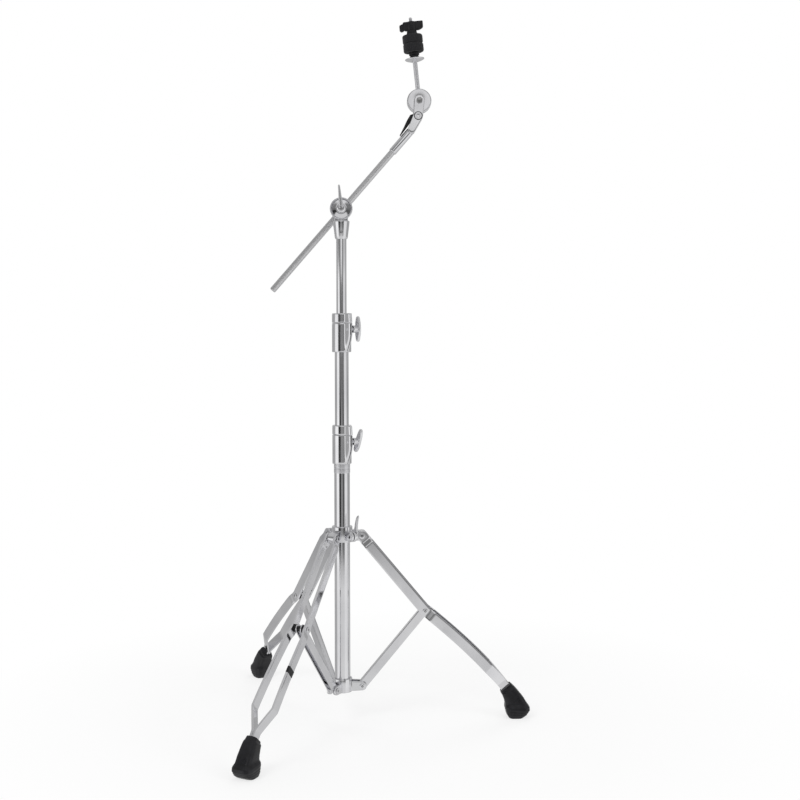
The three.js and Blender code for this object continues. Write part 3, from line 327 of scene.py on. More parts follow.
def tongue(foot: Sequence[float], end: Sequence[float], steps: int = 28) -> Array:
    """The outline of a lug with a straight foot and a round end.

    Args:
        foot: X of the foot, and its lowest and highest Z.
        end: The round end as (x, z, radius).
        steps: Points on the round end.

    Returns:
        Points of shape (steps + 6, 2).
    """
    (x0, low, high), (x1, z1, radius) = foot, end
    turn = np.radians(np.linspace(-84.0, 84.0, steps))
    arc = np.stack([x1 + radius * np.cos(turn), z1 + radius * np.sin(turn)], -1)
    share = np.array([0.33, 0.67, 1.0])[:, None]
    upper = arc[-1] + (np.array([x0, high]) - arc[-1]) * share
    lower = arc[0] + (np.array([x0, low]) - arc[0]) * share[::-1]
    return np.concatenate([arc, upper, lower])


def box_shell(low: Sequence[float], high: Sequence[float], ease: float = 0.5) -> Shell:
    """A softened block: its XZ rectangle, with eased corners, made a plate along Y."""
    (x0, y0, z0), (x1, y1, z1) = low, high
    return slab(eased([(x0, z0), (x1, z0), (x1, z1), (x0, z1)], ease), y0, y1, ease)


def threaded(radius: float, depth: float, pitch: float, bottom: float, top: float, sides: int = 36) -> Shell:
    """A screw thread about Z.

    The radius at turn a and height h is radius - depth |2 frac(h / pitch - a / 2 pi) - 1|, a ridge
    that climbs one pitch in each turn, and it fades to the root over the last half pitch.

    Args:
        radius: Radius at the crest.
        depth: Height of the ridge.
        pitch: Climb in one turn.
        bottom: Height of the lower end.
        top: Height of the upper end.
        sides: Columns round the axis.

    Returns:
        The surface.
    """
    heights = np.linspace(bottom, top, max(8, int((top - bottom) / pitch * 8)))
    turn = np.linspace(0, 2 * np.pi, sides, endpoint=False)
    phase = heights[:, None] / pitch - turn[None] / (2 * np.pi)
    ridge = np.abs(2 * (phase - np.floor(phase)) - 1)
    fade = np.clip(np.minimum(heights - bottom, top - heights) / (pitch / 2), 0, 1)[:, None]
    reach = radius - depth * (1 - (1 - ridge) * fade)
    reach = np.concatenate([reach[:1] * 0, reach, reach[-1:] * 0])
    level = np.concatenate([heights[:1], heights, heights[-1:]])
    return Shell(np.stack([reach * np.cos(turn), reach * np.sin(turn), np.repeat(level[:, None], sides, 1)], -1))


# ---------------------------------------------------------------- placements


def rotation(axis: str, degrees: float) -> Array:
    """A right-handed turn about one of the axes.

    Args:
        axis: "X", "Y" or "Z".
        degrees: Its angle.

    Returns:
        A 4 by 4 matrix.
    """
    c, s = math.cos(math.radians(degrees)), math.sin(math.radians(degrees))
    turn = np.eye(4)
    i, j = {"X": (1, 2), "Y": (2, 0), "Z": (0, 1)}[axis]
    turn[i, i], turn[i, j], turn[j, i], turn[j, j] = c, -s, s, c
    return turn


def shift(x: float = 0.0, y: float = 0.0, z: float = 0.0) -> Array:
    """A move by (x, y, z) as a 4 by 4 matrix."""
    move = np.eye(4)
    move[:3, 3] = x, y, z
    return move


ALONG_X = rotation("Y", 90)
ALONG_Y = rotation("X", -90)


# ---------------------------------------------------------------- finishes


class Slot(Enum):
    """The names of the material slots, one kept with each finish."""

    CHROME = "chrome"
    STEEL = "knurled_steel"
    NYLON = "black_nylon"
    RUBBER = "black_rubber"
    FELT = "black_felt"


class Recipe:
    """A material's node tree, with short ways to add and join its nodes."""

    def __init__(self, name: str) -> None:
        """Start a material with a Principled shader.

        Args:
            name: The material's name.
        """
        self.material = bpy.data.materials.new(name)
        self.material.use_nodes = True
        self.tree = self.material.node_tree
        self.shader = self.tree.nodes["Principled BSDF"]

    def node(self, kind: str, **settings: object) -> bpy.types.Node:
        """Add a node and set its properties.

        Args:
            kind: The node's type without the ShaderNode prefix.
            **settings: Properties by name.

        Returns:
            The node.
        """
        made = self.tree.nodes.new("ShaderNode" + kind)
        for name, value in settings.items():
            setattr(made, name, value)
        return made

    def join(self, source: bpy.types.NodeSocket, target: bpy.types.NodeSocket) -> None:
        """Link one socket to another."""
        self.tree.links.new(source, target)

    def fixed(self, **values: object) -> None:
        """Set sockets of the shader, with underscores for the spaces in their names."""
        for name, value in values.items():
            self.shader.inputs[name.replace("_", " ")].default_value = value

    def place(self, stretch: Sequence[float] = (1, 1, 1), wrapped: bool = False) -> bpy.types.NodeSocket:
        """Positions on the piece: its Object coordinates, or its own texture map, stretched.

        Args:
            stretch: Factor on each axis.
            wrapped: Whether to use the piece's texture map.

        Returns:
            The socket of the positions.
        """
        source = self.node("TexCoord").outputs["UV" if wrapped else "Object"]
        mapping = self.node("Mapping")
        mapping.inputs["Scale"].default_value = stretch
        self.join(source, mapping.inputs["Vector"])
        return mapping.outputs["Vector"]

    def noise(self, scale: float, detail: float = 3.0, stretch: Sequence[float] = (1, 1, 1),
              roughness: float = 0.55) -> bpy.types.NodeSocket:
        """Cloudy values from 0 to 1 on Object coordinates.

        Args:
            scale: Clouds in a metre.
            detail: Octaves.
            stretch: Factor on each axis.
            roughness: How strong the fine octaves are.

        Returns:
            The socket of the values.
        """
        made = self.node("TexNoise")
        made.inputs["Scale"].default_value = scale
        made.inputs["Detail"].default_value = detail
        made.inputs["Roughness"].default_value = roughness
        self.join(self.place(stretch), made.inputs["Vector"])
        return made.outputs["Fac"]

    def spread(self, value: bpy.types.NodeSocket, low: float, high: float, start: float = 0.3,
               end: float = 0.7) -> bpy.types.NodeSocket:
        """Carry values between start and end onto low to high.

        Args:
            value: The socket to read.
            low: Result at start.
            high: Result at end.
            start: Lower input.
            end: Upper input.

        Returns:
            The socket of the results.
        """
        made = self.node("MapRange")
        for name, number in (("From Min", start), ("From Max", end), ("To Min", low), ("To Max", high)):
            made.inputs[name].default_value = number
        self.join(value, made.inputs["Value"])
        return made.outputs["Result"]

    def tint(self, value: bpy.types.NodeSocket, dark: Sequence[float], light: Sequence[float]) -> None:
        """Colour the surface from dark to light as value goes from 0.3 to 0.7.

        Args:
            value: The socket to read.
            dark: Colour at the lower end.
            light: Colour at the upper end.
        """
        ramp = self.node("ValToRGB")
        ramp.color_ramp.elements[0].position, ramp.color_ramp.elements[1].position = 0.3, 0.7
        ramp.color_ramp.elements[0].color = (*dark, 1)
        ramp.color_ramp.elements[1].color = (*light, 1)
        self.join(value, ramp.inputs["Fac"])
        self.join(ramp.outputs["Color"], self.shader.inputs["Base Color"])

    def relief(self, height: bpy.types.NodeSocket, depth: float, strength: float = 1.0,
               under: bpy.types.NodeSocket | None = None) -> bpy.types.NodeSocket:
        """Roughen the surface by a height.

        Args:
            height: The socket of heights from 0 to 1.
            depth: Their size in metres.
            strength: Share of the relief that is used.
            under: The normal of a coarser relief to add to.

        Returns:
            The socket of the new normal, already joined to the shader.
        """
        bump = self.node("Bump")
        bump.inputs["Distance"].default_value = depth
        bump.inputs["Strength"].default_value = strength
        self.join(height, bump.inputs["Height"])
        if under is not None:
            self.join(under, bump.inputs["Normal"])
        self.join(bump.outputs["Normal"], self.shader.inputs["Normal"])
        return bump.outputs["Normal"]


@dataclass(frozen=True)
class ChromePlate:
    """Bright plating with a faint orange peel, soft polishing marks and a few dull patches.

    Attributes:
        name: The material's name.
        light: Colour of the clean plating.
        dull: Colour of the handled patches.
        gloss: Roughness from the cleanest to the dullest place.
        peel: Depth of the orange peel in metres.
        marks: Stretch that lays the polishing marks along the piece.
    """

    name: str = "bright_chrome"
    light: tuple[float, float, float] = (0.86, 0.86, 0.875)
    dull: tuple[float, float, float] = (0.74, 0.74, 0.76)
    gloss: tuple[float, float] = (0.055, 0.13)
    peel: float = 0.000004
    marks: tuple[float, float, float] = (1.0, 1.0, 0.03)

    def material(self) -> bpy.types.Material:
        """Build the material.

        Returns:
            The finished material.
        """
        recipe = Recipe(self.name)
        recipe.fixed(Metallic=1.0)
        patches = recipe.noise(14.0, 4.0)
        recipe.tint(patches, self.dull, self.light)
        scratches = recipe.noise(900.0, 2.0, self.marks)
        blend = recipe.node("Math", operation="MULTIPLY_ADD")
        recipe.join(scratches, blend.inputs[0])
        blend.inputs[1].default_value = 0.5
        recipe.join(recipe.spread(patches, 0.3, 0.0), blend.inputs[2])
        recipe.join(recipe.spread(blend.outputs[0], *self.gloss, 0.15, 0.6), recipe.shader.inputs["Roughness"])
        recipe.relief(recipe.noise(260.0, 2.0), self.peel, 0.6)
        return recipe.material


@dataclass(frozen=True)
class KnurledSteel:
    """Satin plated steel rolled with a fine crossed knurl.

    Attributes:
        name: The material's name.
        crest: Colour of the knurl's crests.
        valley_shade: Colour between them, a painted shade in the knurl's grooves.
        pitch: Distance between the crossed lines in metres.
        depth: Depth of the knurl in metres; 0 leaves a plain satin surface.
    """

    name: str = "crossed_knurl"
    crest: tuple[float, float, float] = (0.88, 0.88, 0.89)
    valley_shade: tuple[float, float, float] = (0.68, 0.68, 0.69)
    pitch: float = 0.0009
    depth: float = 0.00003

    def material(self) -> bpy.types.Material:
        """Build the material; the knurl's height is the product of two crossed waves.

        Returns:
            The finished material.
        """
        recipe = Recipe(self.name)
        recipe.fixed(Metallic=1.0)
        waves = []
        for lean in (45.0, -45.0):
            mapping = recipe.node("Mapping")
            mapping.inputs["Rotation"].default_value = (0, 0, math.radians(lean))
            recipe.join(recipe.node("TexCoord").outputs["UV"], mapping.inputs["Vector"])
            wave = recipe.node("TexWave", wave_type="BANDS", bands_direction="X", wave_profile="SIN")
            wave.inputs["Scale"].default_value = 2 * math.pi / self.pitch / 20
            recipe.join(mapping.outputs["Vector"], wave.inputs["Vector"])
            waves.append(wave.outputs["Fac"])
        crossed = recipe.node("Math", operation="MULTIPLY")
        for k, wave in enumerate(waves):
            recipe.join(wave, crossed.inputs[k])
        # painted shade: the grooves between the crests are coloured darker than the crests
        recipe.tint(crossed.outputs[0], self.valley_shade, self.crest)
        recipe.join(recipe.spread(recipe.noise(40.0), 0.40, 0.52), recipe.shader.inputs["Roughness"])
        recipe.relief(crossed.outputs[0], self.depth, 0.35)
        return recipe.material


@dataclass(frozen=True)
class SatinSteel:
    """Plain zinc-plated steel of bolts and screws, with faint clouds and a fine grain.

    Attributes:
        name: The material's name.
        light: Colour of the plating.
        dull: Colour of its darker clouds.
        gloss: Roughness from the smoothest to the dullest place.
    """

    name: str = "satin_steel"
    light: tuple[float, float, float] = (0.60, 0.60, 0.60)
    dull: tuple[float, float, float] = (0.34, 0.34, 0.34)
    gloss: tuple[float, float] = (0.22, 0.38)

    def material(self) -> bpy.types.Material:
        """Build the material.

        Returns:
            The finished material.
        """
        recipe = Recipe(self.name)
        recipe.fixed(Metallic=1.0)
        recipe.tint(recipe.noise(120.0, 4.0), self.dull, self.light)
        recipe.join(recipe.spread(recipe.noise(300.0), *self.gloss), recipe.shader.inputs["Roughness"])
        recipe.relief(recipe.noise(1500.0, 1.0), 0.00002, 0.5)
        return recipe.material


@dataclass(frozen=True)
class Moulding:
    """Moulded black nylon or rubber: a fine grain, slight clouds and paler rubbed places.

    Attributes:
        name: The material's name.
        dark: Main colour.
        rubbed: Colour of rubbed places.
        rough: Roughness from the smoothest to the dullest place.
        grain: Grains in a metre.
        depth: Depth of the grain in metres.
        shine: Specular level.
    """

    name: str
    dark: tuple[float, float, float]
    rubbed: tuple[float, float, float]
    rough: tuple[float, float]
    grain: float
    depth: float
    shine: float

    def material(self) -> bpy.types.Material:
        """Build the material.

        Returns:
            The finished material.
        """
        recipe = Recipe(self.name)
        recipe.fixed(Metallic=0.0, Specular_IOR_Level=self.shine)
        recipe.tint(recipe.noise(90.0, 6.0), self.dark, self.rubbed)
        recipe.join(recipe.spread(recipe.noise(55.0, 3.0), *self.rough), recipe.shader.inputs["Roughness"])
        coarse = recipe.relief(recipe.noise(self.grain / 6, 2.0), self.depth * 2, 0.4)
        recipe.relief(recipe.noise(self.grain, 2.0), self.depth, 0.6, coarse)
        return recipe.material


@dataclass(frozen=True)
class PressedFelt:
    """Black wool felt: tangled fibres, pale lint and a soft sheen.

    Attributes:
        name: The material's name.
        wool: Colour of the wool.
        lint: Colour of the stray fibres.
        nap: Depth of the fibres in metres.
    """

    name: str = "pressed_felt"
    wool: tuple[float, float, float] = (0.008, 0.008, 0.009)
    lint: tuple[float, float, float] = (0.030, 0.030, 0.032)
    nap: float = 0.0004

    def material(self) -> bpy.types.Material:
        """Build the material.

        Returns:
            The finished material.
        """
        recipe = Recipe(self.name)
        recipe.fixed(Metallic=0.0, Roughness=0.95, Specular_IOR_Level=0.15, Sheen_Weight=0.12, Sheen_Roughness=0.5)
        fibres = recipe.noise(1400.0, 5.0, (1.0, 1.0, 0.35), 0.7)
        recipe.tint(fibres, self.wool, self.lint)
        tufts = recipe.relief(recipe.noise(260.0, 4.0), self.nap, 0.7)
        recipe.relief(fibres, self.nap * 0.5, 0.8, tufts)
        return recipe.material


@dataclass(frozen=True)
class Finish:
    """A material and the slot that it stands for.

    Attributes:
        material: The material.
        slot: Its slot.
    """

    material: bpy.types.Material
    slot: Slot


class Finishes:
    """The stand's finishes, each built once."""

    def __init__(self) -> None:
        """Build every finish of the stand."""
        self.chrome = Finish(ChromePlate().material(), Slot.CHROME)
        self.cast = Finish(ChromePlate("cast_chrome", gloss=(0.08, 0.16), peel=0.000008, marks=(1, 1, 1)).material(),
                           Slot.CHROME)
        self.brushed = Finish(SatinSteel("brushed_chrome", (0.84, 0.84, 0.86), (0.74, 0.74, 0.76),
                                         (0.36, 0.46)).material(), Slot.CHROME)
        self.knurl = Finish(KnurledSteel().material(), Slot.STEEL)
        self.steel = Finish(SatinSteel().material(), Slot.STEEL)
        self.nylon = Finish(Moulding("moulded_nylon", (0.005, 0.005, 0.006), (0.011, 0.011, 0.012),
                                     (0.30, 0.48), 2600.0, 0.00003, 0.35).material(), Slot.NYLON)
        self.rubber = Finish(Moulding("moulded_rubber", (0.004, 0.004, 0.005), (0.010, 0.010, 0.013),
                                      (0.24, 0.44), 1500.0, 0.00003, 0.40).material(), Slot.RUBBER)
        self.felt = Finish(PressedFelt().material(), Slot.FELT)
        # painted shade: near-black steel for the rivets' dimples and the boss's hole; the bracket's screw wears it too
        self.shade = Finish(SatinSteel("painted_recess_shade", (0.035, 0.035, 0.037), (0.012, 0.012, 0.013),
                                       (0.4, 0.6)).material(), Slot.STEEL)


# ---------------------------------------------------------------- the bench that sets pieces down


class Bench:
    """Turns shells into finished objects in the row frame."""

    def __init__(self, origin: Array, finishes: Finishes) -> None:
        """Keep the stand's place and its finishes.

        Args:
            origin: Foot of the tube axis in the row frame, in millimetres.
            finishes: The stand's finishes.
        """
        self.home = shift(*origin)
        self.finishes = finishes

    def set_down(self, name: str, shells: Sequence[Shell], place: Array, finish: Finish, body: str,
                 nodes: Sequence[str] = (), inlay: Sequence[Shell] = (), inlay_finish: Finish | None = None) -> None:
        """Make one object of closed shells and let it ride on its body.

        Args:
            name: The piece's name.
            shells: Its surfaces, in the sub-assembly's own axes.
            place: Placement of the sub-assembly in the stand's axes.
            finish: Its finish.
            body: The body that carries it.
            nodes: The solids it stands for.
            inlay: Surfaces of the piece in another finish.
            inlay_finish: Their finish.
        """
        matrix = self.home @ place
        points, faces, maps, start = [], [], [], 0
        plain = sum(len(shell.quads()) for shell in shells)
        for shell in [*shells, *inlay]:
            set_out = shell.placed(matrix)
            quads, turned_faces = set_out.quads(), set_out.outward()
            unwrapped = shell.unwrapped()
            maps.append(unwrapped if np.array_equal(quads, turned_faces) else unwrapped[:, ::-1])
            points.append(set_out.rows.reshape(-1, 3) * MM)
            faces.append(turned_faces + start)
            start += len(points[-1])
        mesh = bpy.data.meshes.new(name)
        mesh.from_pydata(np.concatenate(points), [], np.concatenate(faces).tolist())
        layer = mesh.uv_layers.new(name="unwrapped")
        layer.data.foreach_set("uv", np.concatenate(maps).reshape(-1))
        mesh.materials.append(finish.material)
        if inlay:
            mesh.materials.append(inlay_finish.material)
            mesh.polygons.foreach_set("material_index", (np.arange(len(mesh.polygons)) >= plain).astype(np.int32))
        self.close(mesh)
        piece = bpy.data.objects.new(name, mesh)
        bpy.context.scene.collection.objects.link(piece)
        self.finish(piece, finish.slot, body, nodes)

    def stand_in(self, rows: Iterable[tuple[str, Sequence[Shell], Array, Finish, str]]) -> None:
        """Make one object for each solid of a list.

        Args:
            rows: The solid, its surfaces, their placement, its finish and the body that carries it.
        """
        for node, shells, place, finish, body in rows:
            self.set_down(node + "_made", shells, place, finish, body, (node,))

    def recast(self, node: str, finish: Finish, body: str, ease: float = 0.5, angle: float = 38.0) -> None:
        """Make a finished piece from a copy of a solid, with its loose triangles merged and its edges eased.

        Args:
            node: The solid.
            finish: Its finish.
            body: The body that carries it.
            ease: Width of the eased edges in millimetres.
            angle: Edges sharper than this many degrees are eased.
        """
        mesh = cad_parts[node].data.copy()
        mesh.name = node + "_finished"
        mesh.materials.clear()
        mesh.materials.append(finish.material)
        self.close(mesh, 2e-6)
        piece = bpy.data.objects.new(node + "_finished", mesh)
        bpy.context.scene.collection.objects.link(piece)
        bevel = piece.modifiers.new("eased edges", "BEVEL")
        bevel.width, bevel.segments, bevel.limit_method = ease * MM, 2, "ANGLE"
        bevel.angle_limit, bevel.harden_normals, bevel.use_clamp_overlap = math.radians(angle), True, True
        self.finish(piece, finish.slot, body, (node,))

    @staticmethod
    def close(mesh: bpy.types.Mesh, distance: float = 1e-7) -> None:
        """Merge the points of seams and poles, and drop faces that have no area.

        Args:
            mesh: The mesh to close.
            distance: Points nearer than this are one, in metres.
        """
        work = bmesh.new()
        work.from_mesh(mesh)
        bmesh.ops.remove_doubles(work, verts=work.verts, dist=distance)
        bmesh.ops.dissolve_degenerate(work, edges=work.edges, dist=distance)
        work.to_mesh(mesh)
        work.free()
        mesh.shade_smooth()
        mesh.set_sharp_from_angle(angle=math.radians(38))

    @staticmethod
    def finish(piece: bpy.types.Object, slot: Slot, body: str, nodes: Sequence[str]) -> None:
        """Parent a piece to its body's empty, hide the solids it stands for and log its faces.

        Args:
            piece: The object.
            slot: The material slot it stands for; not used.
            body: The body that carries it.
            nodes: The solids it stands for.
        """
        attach(piece, body)
        if nodes:
            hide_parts(*nodes)
        LOG.info("%s: %d faces on %s", piece.name, len(piece.data.polygons), body)


# ---------------------------------------------------------------- sub-assemblies


@dataclass
class Telescope:
    """The three tubes, their bushes and the two height clamps.

    Attributes:
        wall: Thickness of the tubes.
        base: Radius, bottom and top of the base tube.
        middle: Radius, bottom and top of the middle tube.
        upper: Radius, bottom and top of the upper tube.
        play: Gap between a tube and its bush.
        band: Bottom, groove and top of the satin band on the base tube.
    """

    wall: float = 1.2
    base: tuple[float, float, float] = (14.3, 57.0, 505.0)
    middle: tuple[float, float, float] = (12.7, 195.0, 710.0)
    upper: tuple[float, float, float] = (9.55, 330.0, 918.0)
    play: float = 0.3
    band: tuple[float, float, float] = (457.2, 465.4, 473.7)

    def band_round(self) -> Shell:
        """The thin satin band under the lower clamp, with a groove round its middle."""
        low, groove, high = self.band
        inner, outer = self.base[0] + 0.02, self.base[0] + 0.5
        profile = [(inner, low), (outer, low), (outer, groove - 0.7), (inner + 0.05, groove - 0.5),
                   (inner + 0.05, groove + 0.5), (outer, groove + 0.7), (outer, high), (inner, high)]
        return turned(profile, 0.12, 96, ring=True)

    def tube(self, sizes: tuple[float, float, float]) -> Shell:
        """A drawn tube with rolled rims.

        Args:
            sizes: Radius, bottom and top.

        Returns:
            The surface.
        """
        radius, bottom, top = sizes
        return pipe(radius - self.wall, radius, bottom, top, 0.5, 96)

    def build(self, bench: Bench) -> None:
        """Set down the tubes, the plug, the bushes and the clamps.

        Args:
            bench: Where the pieces are made.
        """
        finishes, still = bench.finishes, np.eye(4)
        for name, sizes, body in (("base_tube", self.base, "root"), ("middle_tube", self.middle, "middle_tube"),
                                  ("upper_tube", self.upper, "upper_tube")):
            bench.set_down(name + "_drawn", [self.tube(sizes)], still, finishes.chrome, body, (name,))
        radius, bottom, _ = self.base
        bore = radius - self.wall - self.play
        plug = turned([(0, bottom), (bore, bottom), (bore, bottom + 10), (bore - 2, bottom + 10),
                       (bore - 3, bottom + 6), (0, bottom + 6)])
        bench.set_down("base_tube_band", [self.band_round()], still, finishes.brushed, "root")
        bench.set_down("tube_plug_moulded", [plug], still, finishes.nylon, "root", ("base_tube_plug",))
        HeightClamp("base", self.middle[0], self.base[2], "root", "base_bush", "base_wing_bolt",
                    BoltWing.STRAIGHT, 25.0).build(bench)
        HeightClamp("middle", self.upper[0], self.middle[2], "middle_tube", "middle_bush",
                    "middle_wing_bolt", BoltWing.BUTTERFLY, 0.0).build(bench)


class BoltWing(Enum):
    """The two shapes of wing on the clamps' bolts, as outlines of (x, z)."""

    STRAIGHT = ((-2.6, 24.4), (1.2, 25.2), (4.6, 22.0), (7.2, 13.0), (7.4, 3.0), (7.4, -8.0), (5.8, -17.0),
                (2.4, -21.8), (-3.0, -22.4), (-6.4, -18.0), (-7.2, -8.0), (-6.6, 6.0), (-4.6, 18.0))
    BUTTERFLY = ((-3.0, 22.6), (1.2, 24.0), (4.6, 20.0), (7.2, 10.0), (8.2, -1.0), (7.0, -11.0), (4.2, -20.0),
                 (0.6, -23.6), (-3.4, -21.0), (-6.2, -11.0), (-6.8, 0.0), (-6.2, 12.0))


@dataclass
class HeightClamp:
    """A die-cast clamp with its cap, bush and wing bolt; the lug points along its X.

    Attributes:
        name: Which clamp it is.
        inner: Radius of the tube that slides in it.
        tube_top: Height of the fixed tube's top.
        body: Body of the clamp and its cap.
        bush_body: Body of the bush.
        bolt_body: Body of the wing bolt.
        wing: Shape of the bolt's wing.
        wing_turn: Angle of the wing from upright, at rest.
        grip: How far the clamp reaches down over the fixed tube.
        height: Height of the clamp.
        cap_height: Height of the cap's top over the clamp's.
        radius: Radius of the barrel.
        reach: Distance of the lug's end from the tube's axis.
        lug_half: Half thickness of the lug on the wing's side.
        lug_front: Half thickness on its other side.
        split: Width of the saw slot.
        azimuth: Turn of the lug from the stand's X.
        bolt: Distance of the bolt from the tube's axis, and its height.
    """

    name: str
    inner: float
    tube_top: float
    body: str
    bush_body: str
    bolt_body: str
    wing: BoltWing
    wing_turn: float
    grip: float = 31.0
    height: float = 53.5
    cap_height: float = 17.5
    radius: float = 17.6
    reach: float = 33.0
    lug_half: float = 6.9
    lug_front: float = 4.2
    split: float = 1.6
    azimuth: float = -58.4
    bolt: tuple[float, float] = (25.5, 42.0)

    def casting(self, bottom: float, top: float, bore: float, reach_at: Callable[[Array], Array],
                edge: float = 1.2, slot_depth: float = 14.0) -> Shell:
        """A round casting that flows into one lug, cut by a saw slot.

        At turn a the wall stands at (R^q + L^q)^(1/q), with q the blend, where R is the barrel's
        radius and L is the lug's squircle, ((cos a / reach)^p + (sin a / half)^p)^(-1/p), with p the
        corner and a smaller half on the side away from the wing. The edges draw in by
        edge (1 - sin t) near the faces, and inside the slot's width at the lug's end the wall steps
        back by the slot's depth.

        Args:
            bottom: Height of the lower face.
            top: Height of the upper face.
            bore: Radius of the bore.
            reach_at: The lug's reach for each height.
            edge: Softening radius of the edges.
            slot_depth: Depth of the slot.

        Returns:
            The surface, a ring through its bore.
        """
        angle = np.linspace(0, np.pi / 2, 5)
        draw = np.concatenate([edge * (1 - np.sin(angle)), np.zeros(14), edge * (1 - np.sin(angle[::-1]))])
        level = np.concatenate([bottom + edge * (1 - np.cos(angle)),
                                np.linspace(bottom + edge, top - edge, 16)[1:-1],
                                top - edge * (1 - np.cos(angle[::-1]))])
        corner, blend, far_off = 3, 7, 80
        slot = self.split / 2 / self.reach
        fine = np.array([slot * 0.98, slot * 1.02])
        half_turn = np.concatenate([[0.0], fine, np.linspace(0.035, 0.62, 36), np.linspace(0.66, np.pi, 44)[:-1]])
        turn = np.concatenate([half_turn, [np.pi], -half_turn[:0:-1]])
        cos, sin = np.abs(np.cos(turn)), np.abs(np.sin(turn))
        lug = (reach_at(level) + 1e-6)[:, None]
        half = np.where(np.sin(turn) < 0, self.lug_front, self.lug_half)
        squarish = ((np.where(np.cos(turn) > 0, cos, 0) / lug) ** corner + (sin / half) ** corner) ** (-1 / corner)
        squarish = np.where(np.cos(turn) > 0, np.minimum(squarish, far_off), half)
        wall = (self.radius ** blend + squarish ** blend) ** (1 / blend) - draw[:, None]
        cut = (np.abs(turn) < slot)[None] & (wall > self.radius + 2)
        wall = np.where(cut, np.maximum(wall - slot_depth, self.radius - 1.5), wall)
        inside = np.full((4, len(turn)), bore)
        radius = np.concatenate([wall, inside])
        heights = np.concatenate([level, np.linspace(top - 0.2, bottom + 0.2, 4)])
        rows = np.stack([radius * np.cos(turn), radius * np.sin(turn),
                         np.repeat(heights[:, None], len(turn), 1)], -1)
        return Shell(rows, ring=True)

    def lug_reach(self, level: Array) -> Array:
        """The lug's reach: it grows from the barrel at its foot to its full length at its shoulder."""
        foot, shoulder, least = -6.0, 36.0, 12.0
        share = np.clip((level - foot) / (shoulder - foot), 0.0, 1.0)
        return least + (self.reach - least) * np.sin(share * np.pi / 2)

    def wing_bolt(self) -> list[Shell]:
        """The bolt with its hub and wing, along Y.

        Returns:
            Its surfaces.
        """
        start, end = self.lug_half + 0.3, self.lug_half + 13.3
        hub = turned([(0, start), (7.0, start), (6.8, start + 3), (5.6, end), (0, end)], 0.9)
        stem = threaded(2.8, 0.35, 1.0, 1 - self.lug_half, start + 1)
        wing = slab(eased(self.wing.value, 2.4), end - 3.5, end + 1.5, 1.6, 0.6)
        return [hub.placed(ALONG_Y), stem.placed(ALONG_Y), wing]

    def build(self, bench: Bench) -> None:
        """Set down the clamp, the cap, the bush and the bolt.

        Args:
            bench: Where the pieces are made.
        """
        place = shift(z=self.tube_top - self.grip) @ rotation("Z", self.azimuth)
        finishes = bench.finishes
        play, bush_wall = 0.3, 1.8
        guide = self.inner + play + bush_wall + play
        clamp = [self.casting(0, self.height, guide, self.lug_reach)]
        cap_low = self.height + play
        full = self.height + self.cap_height
        cap = [self.casting(cap_low, full, self.inner + 0.7, lambda z: self.reach - 2 * (z - cap_low) / self.cap_height,
                            1.6, 0.0)]
        bush = [pipe(self.inner + 0.3, self.inner + 2.1, self.grip + 0.3, self.height - 0.3, 0.3)]
        bench.set_down(f"{self.name}_clamp_cast", clamp, place, finishes.cast, self.body,
                       (f"{self.name}_clamp",))
        bench.set_down(f"{self.name}_cap_cast", cap, place, finishes.cast, self.body,
                       (f"{self.name}_clamp_cap",))
        bench.set_down(f"{self.name}_bush_moulded", bush, place, finishes.nylon, self.bush_body,
                       (f"{self.name}_clamp_bush",))
        turned_place = place @ shift(self.bolt[0], 0, self.bolt[1]) @ rotation("Y", self.wing_turn)
        bench.set_down(f"{self.name}_wing_bolt_cast", self.wing_bolt(), turned_place, finishes.cast,
                       self.bolt_body, (f"{self.name}_clamp_wing_bolt",))


@dataclass
class LegPath:
    """The middle line of a leg in its own plane, X away from the tube.

    Attributes:
        pivot: Distance of the leg's top pivot from the axis, and its height.
        knee: Distance and height of the strut's outer pivot.
        past_pivot: Length of the bar past its top pivot.
        slopes: Slope of the bow at the knee and at the foot, in degrees.
        runs: Tangent lengths of the bow.
        in_foot: Length of the bar inside the rubber foot.
    """

    pivot: tuple[float, float] = (36.0, 341.5)
    knee: tuple[float, float] = (36.0 + math.sqrt(180.5 ** 2 - 138.5 ** 2), 203.0)
    past_pivot: float = 9.2
    slopes: tuple[float, float] = (39.0, 52.0)
    runs: tuple[float, float] = (126.0, 84.0)
    in_foot: float = 24.0

    def points(self, count: int = 150) -> tuple[Array, Array, Array]:
        """Points along the leg at even distances.

        The upper part is straight, the lower part is the curve (1-t)^2 a + 2t(1-t) b + t^2 c from
        the knee to the ankle, and the end is straight again.

        Args:
            count: Number of points.

        Returns:
            The points (x, z), their distances from the top, and the headings (x, z).
        """
        top, knee = np.array(self.pivot), np.array(self.knee)
        down = (knee - top) / np.linalg.norm(knee - top)
        lean = [np.array([math.cos(math.radians(s)), -math.sin(math.radians(s))]) for s in self.slopes]
        bend = knee + lean[0] * self.runs[0]
        ankle = bend + lean[1] * self.runs[1]
        t = np.linspace(0, 1, 200)[:, None]
        bow = (1 - t) ** 2 * knee + 2 * t * (1 - t) * bend + t ** 2 * ankle
        rough = np.concatenate([[top - down * self.past_pivot], bow, [ankle + lean[1] * self.in_foot]])
        length = np.concatenate([[0], np.cumsum(np.linalg.norm(np.diff(rough, axis=0), axis=1))])
        even = np.linspace(0, length[-1], count)
        points = np.stack([np.interp(even, length, rough[:, k]) for k in (0, 1)], -1)
        heading = np.gradient(points, axis=0)
        return points, even, heading / np.linalg.norm(heading, axis=1, keepdims=True)


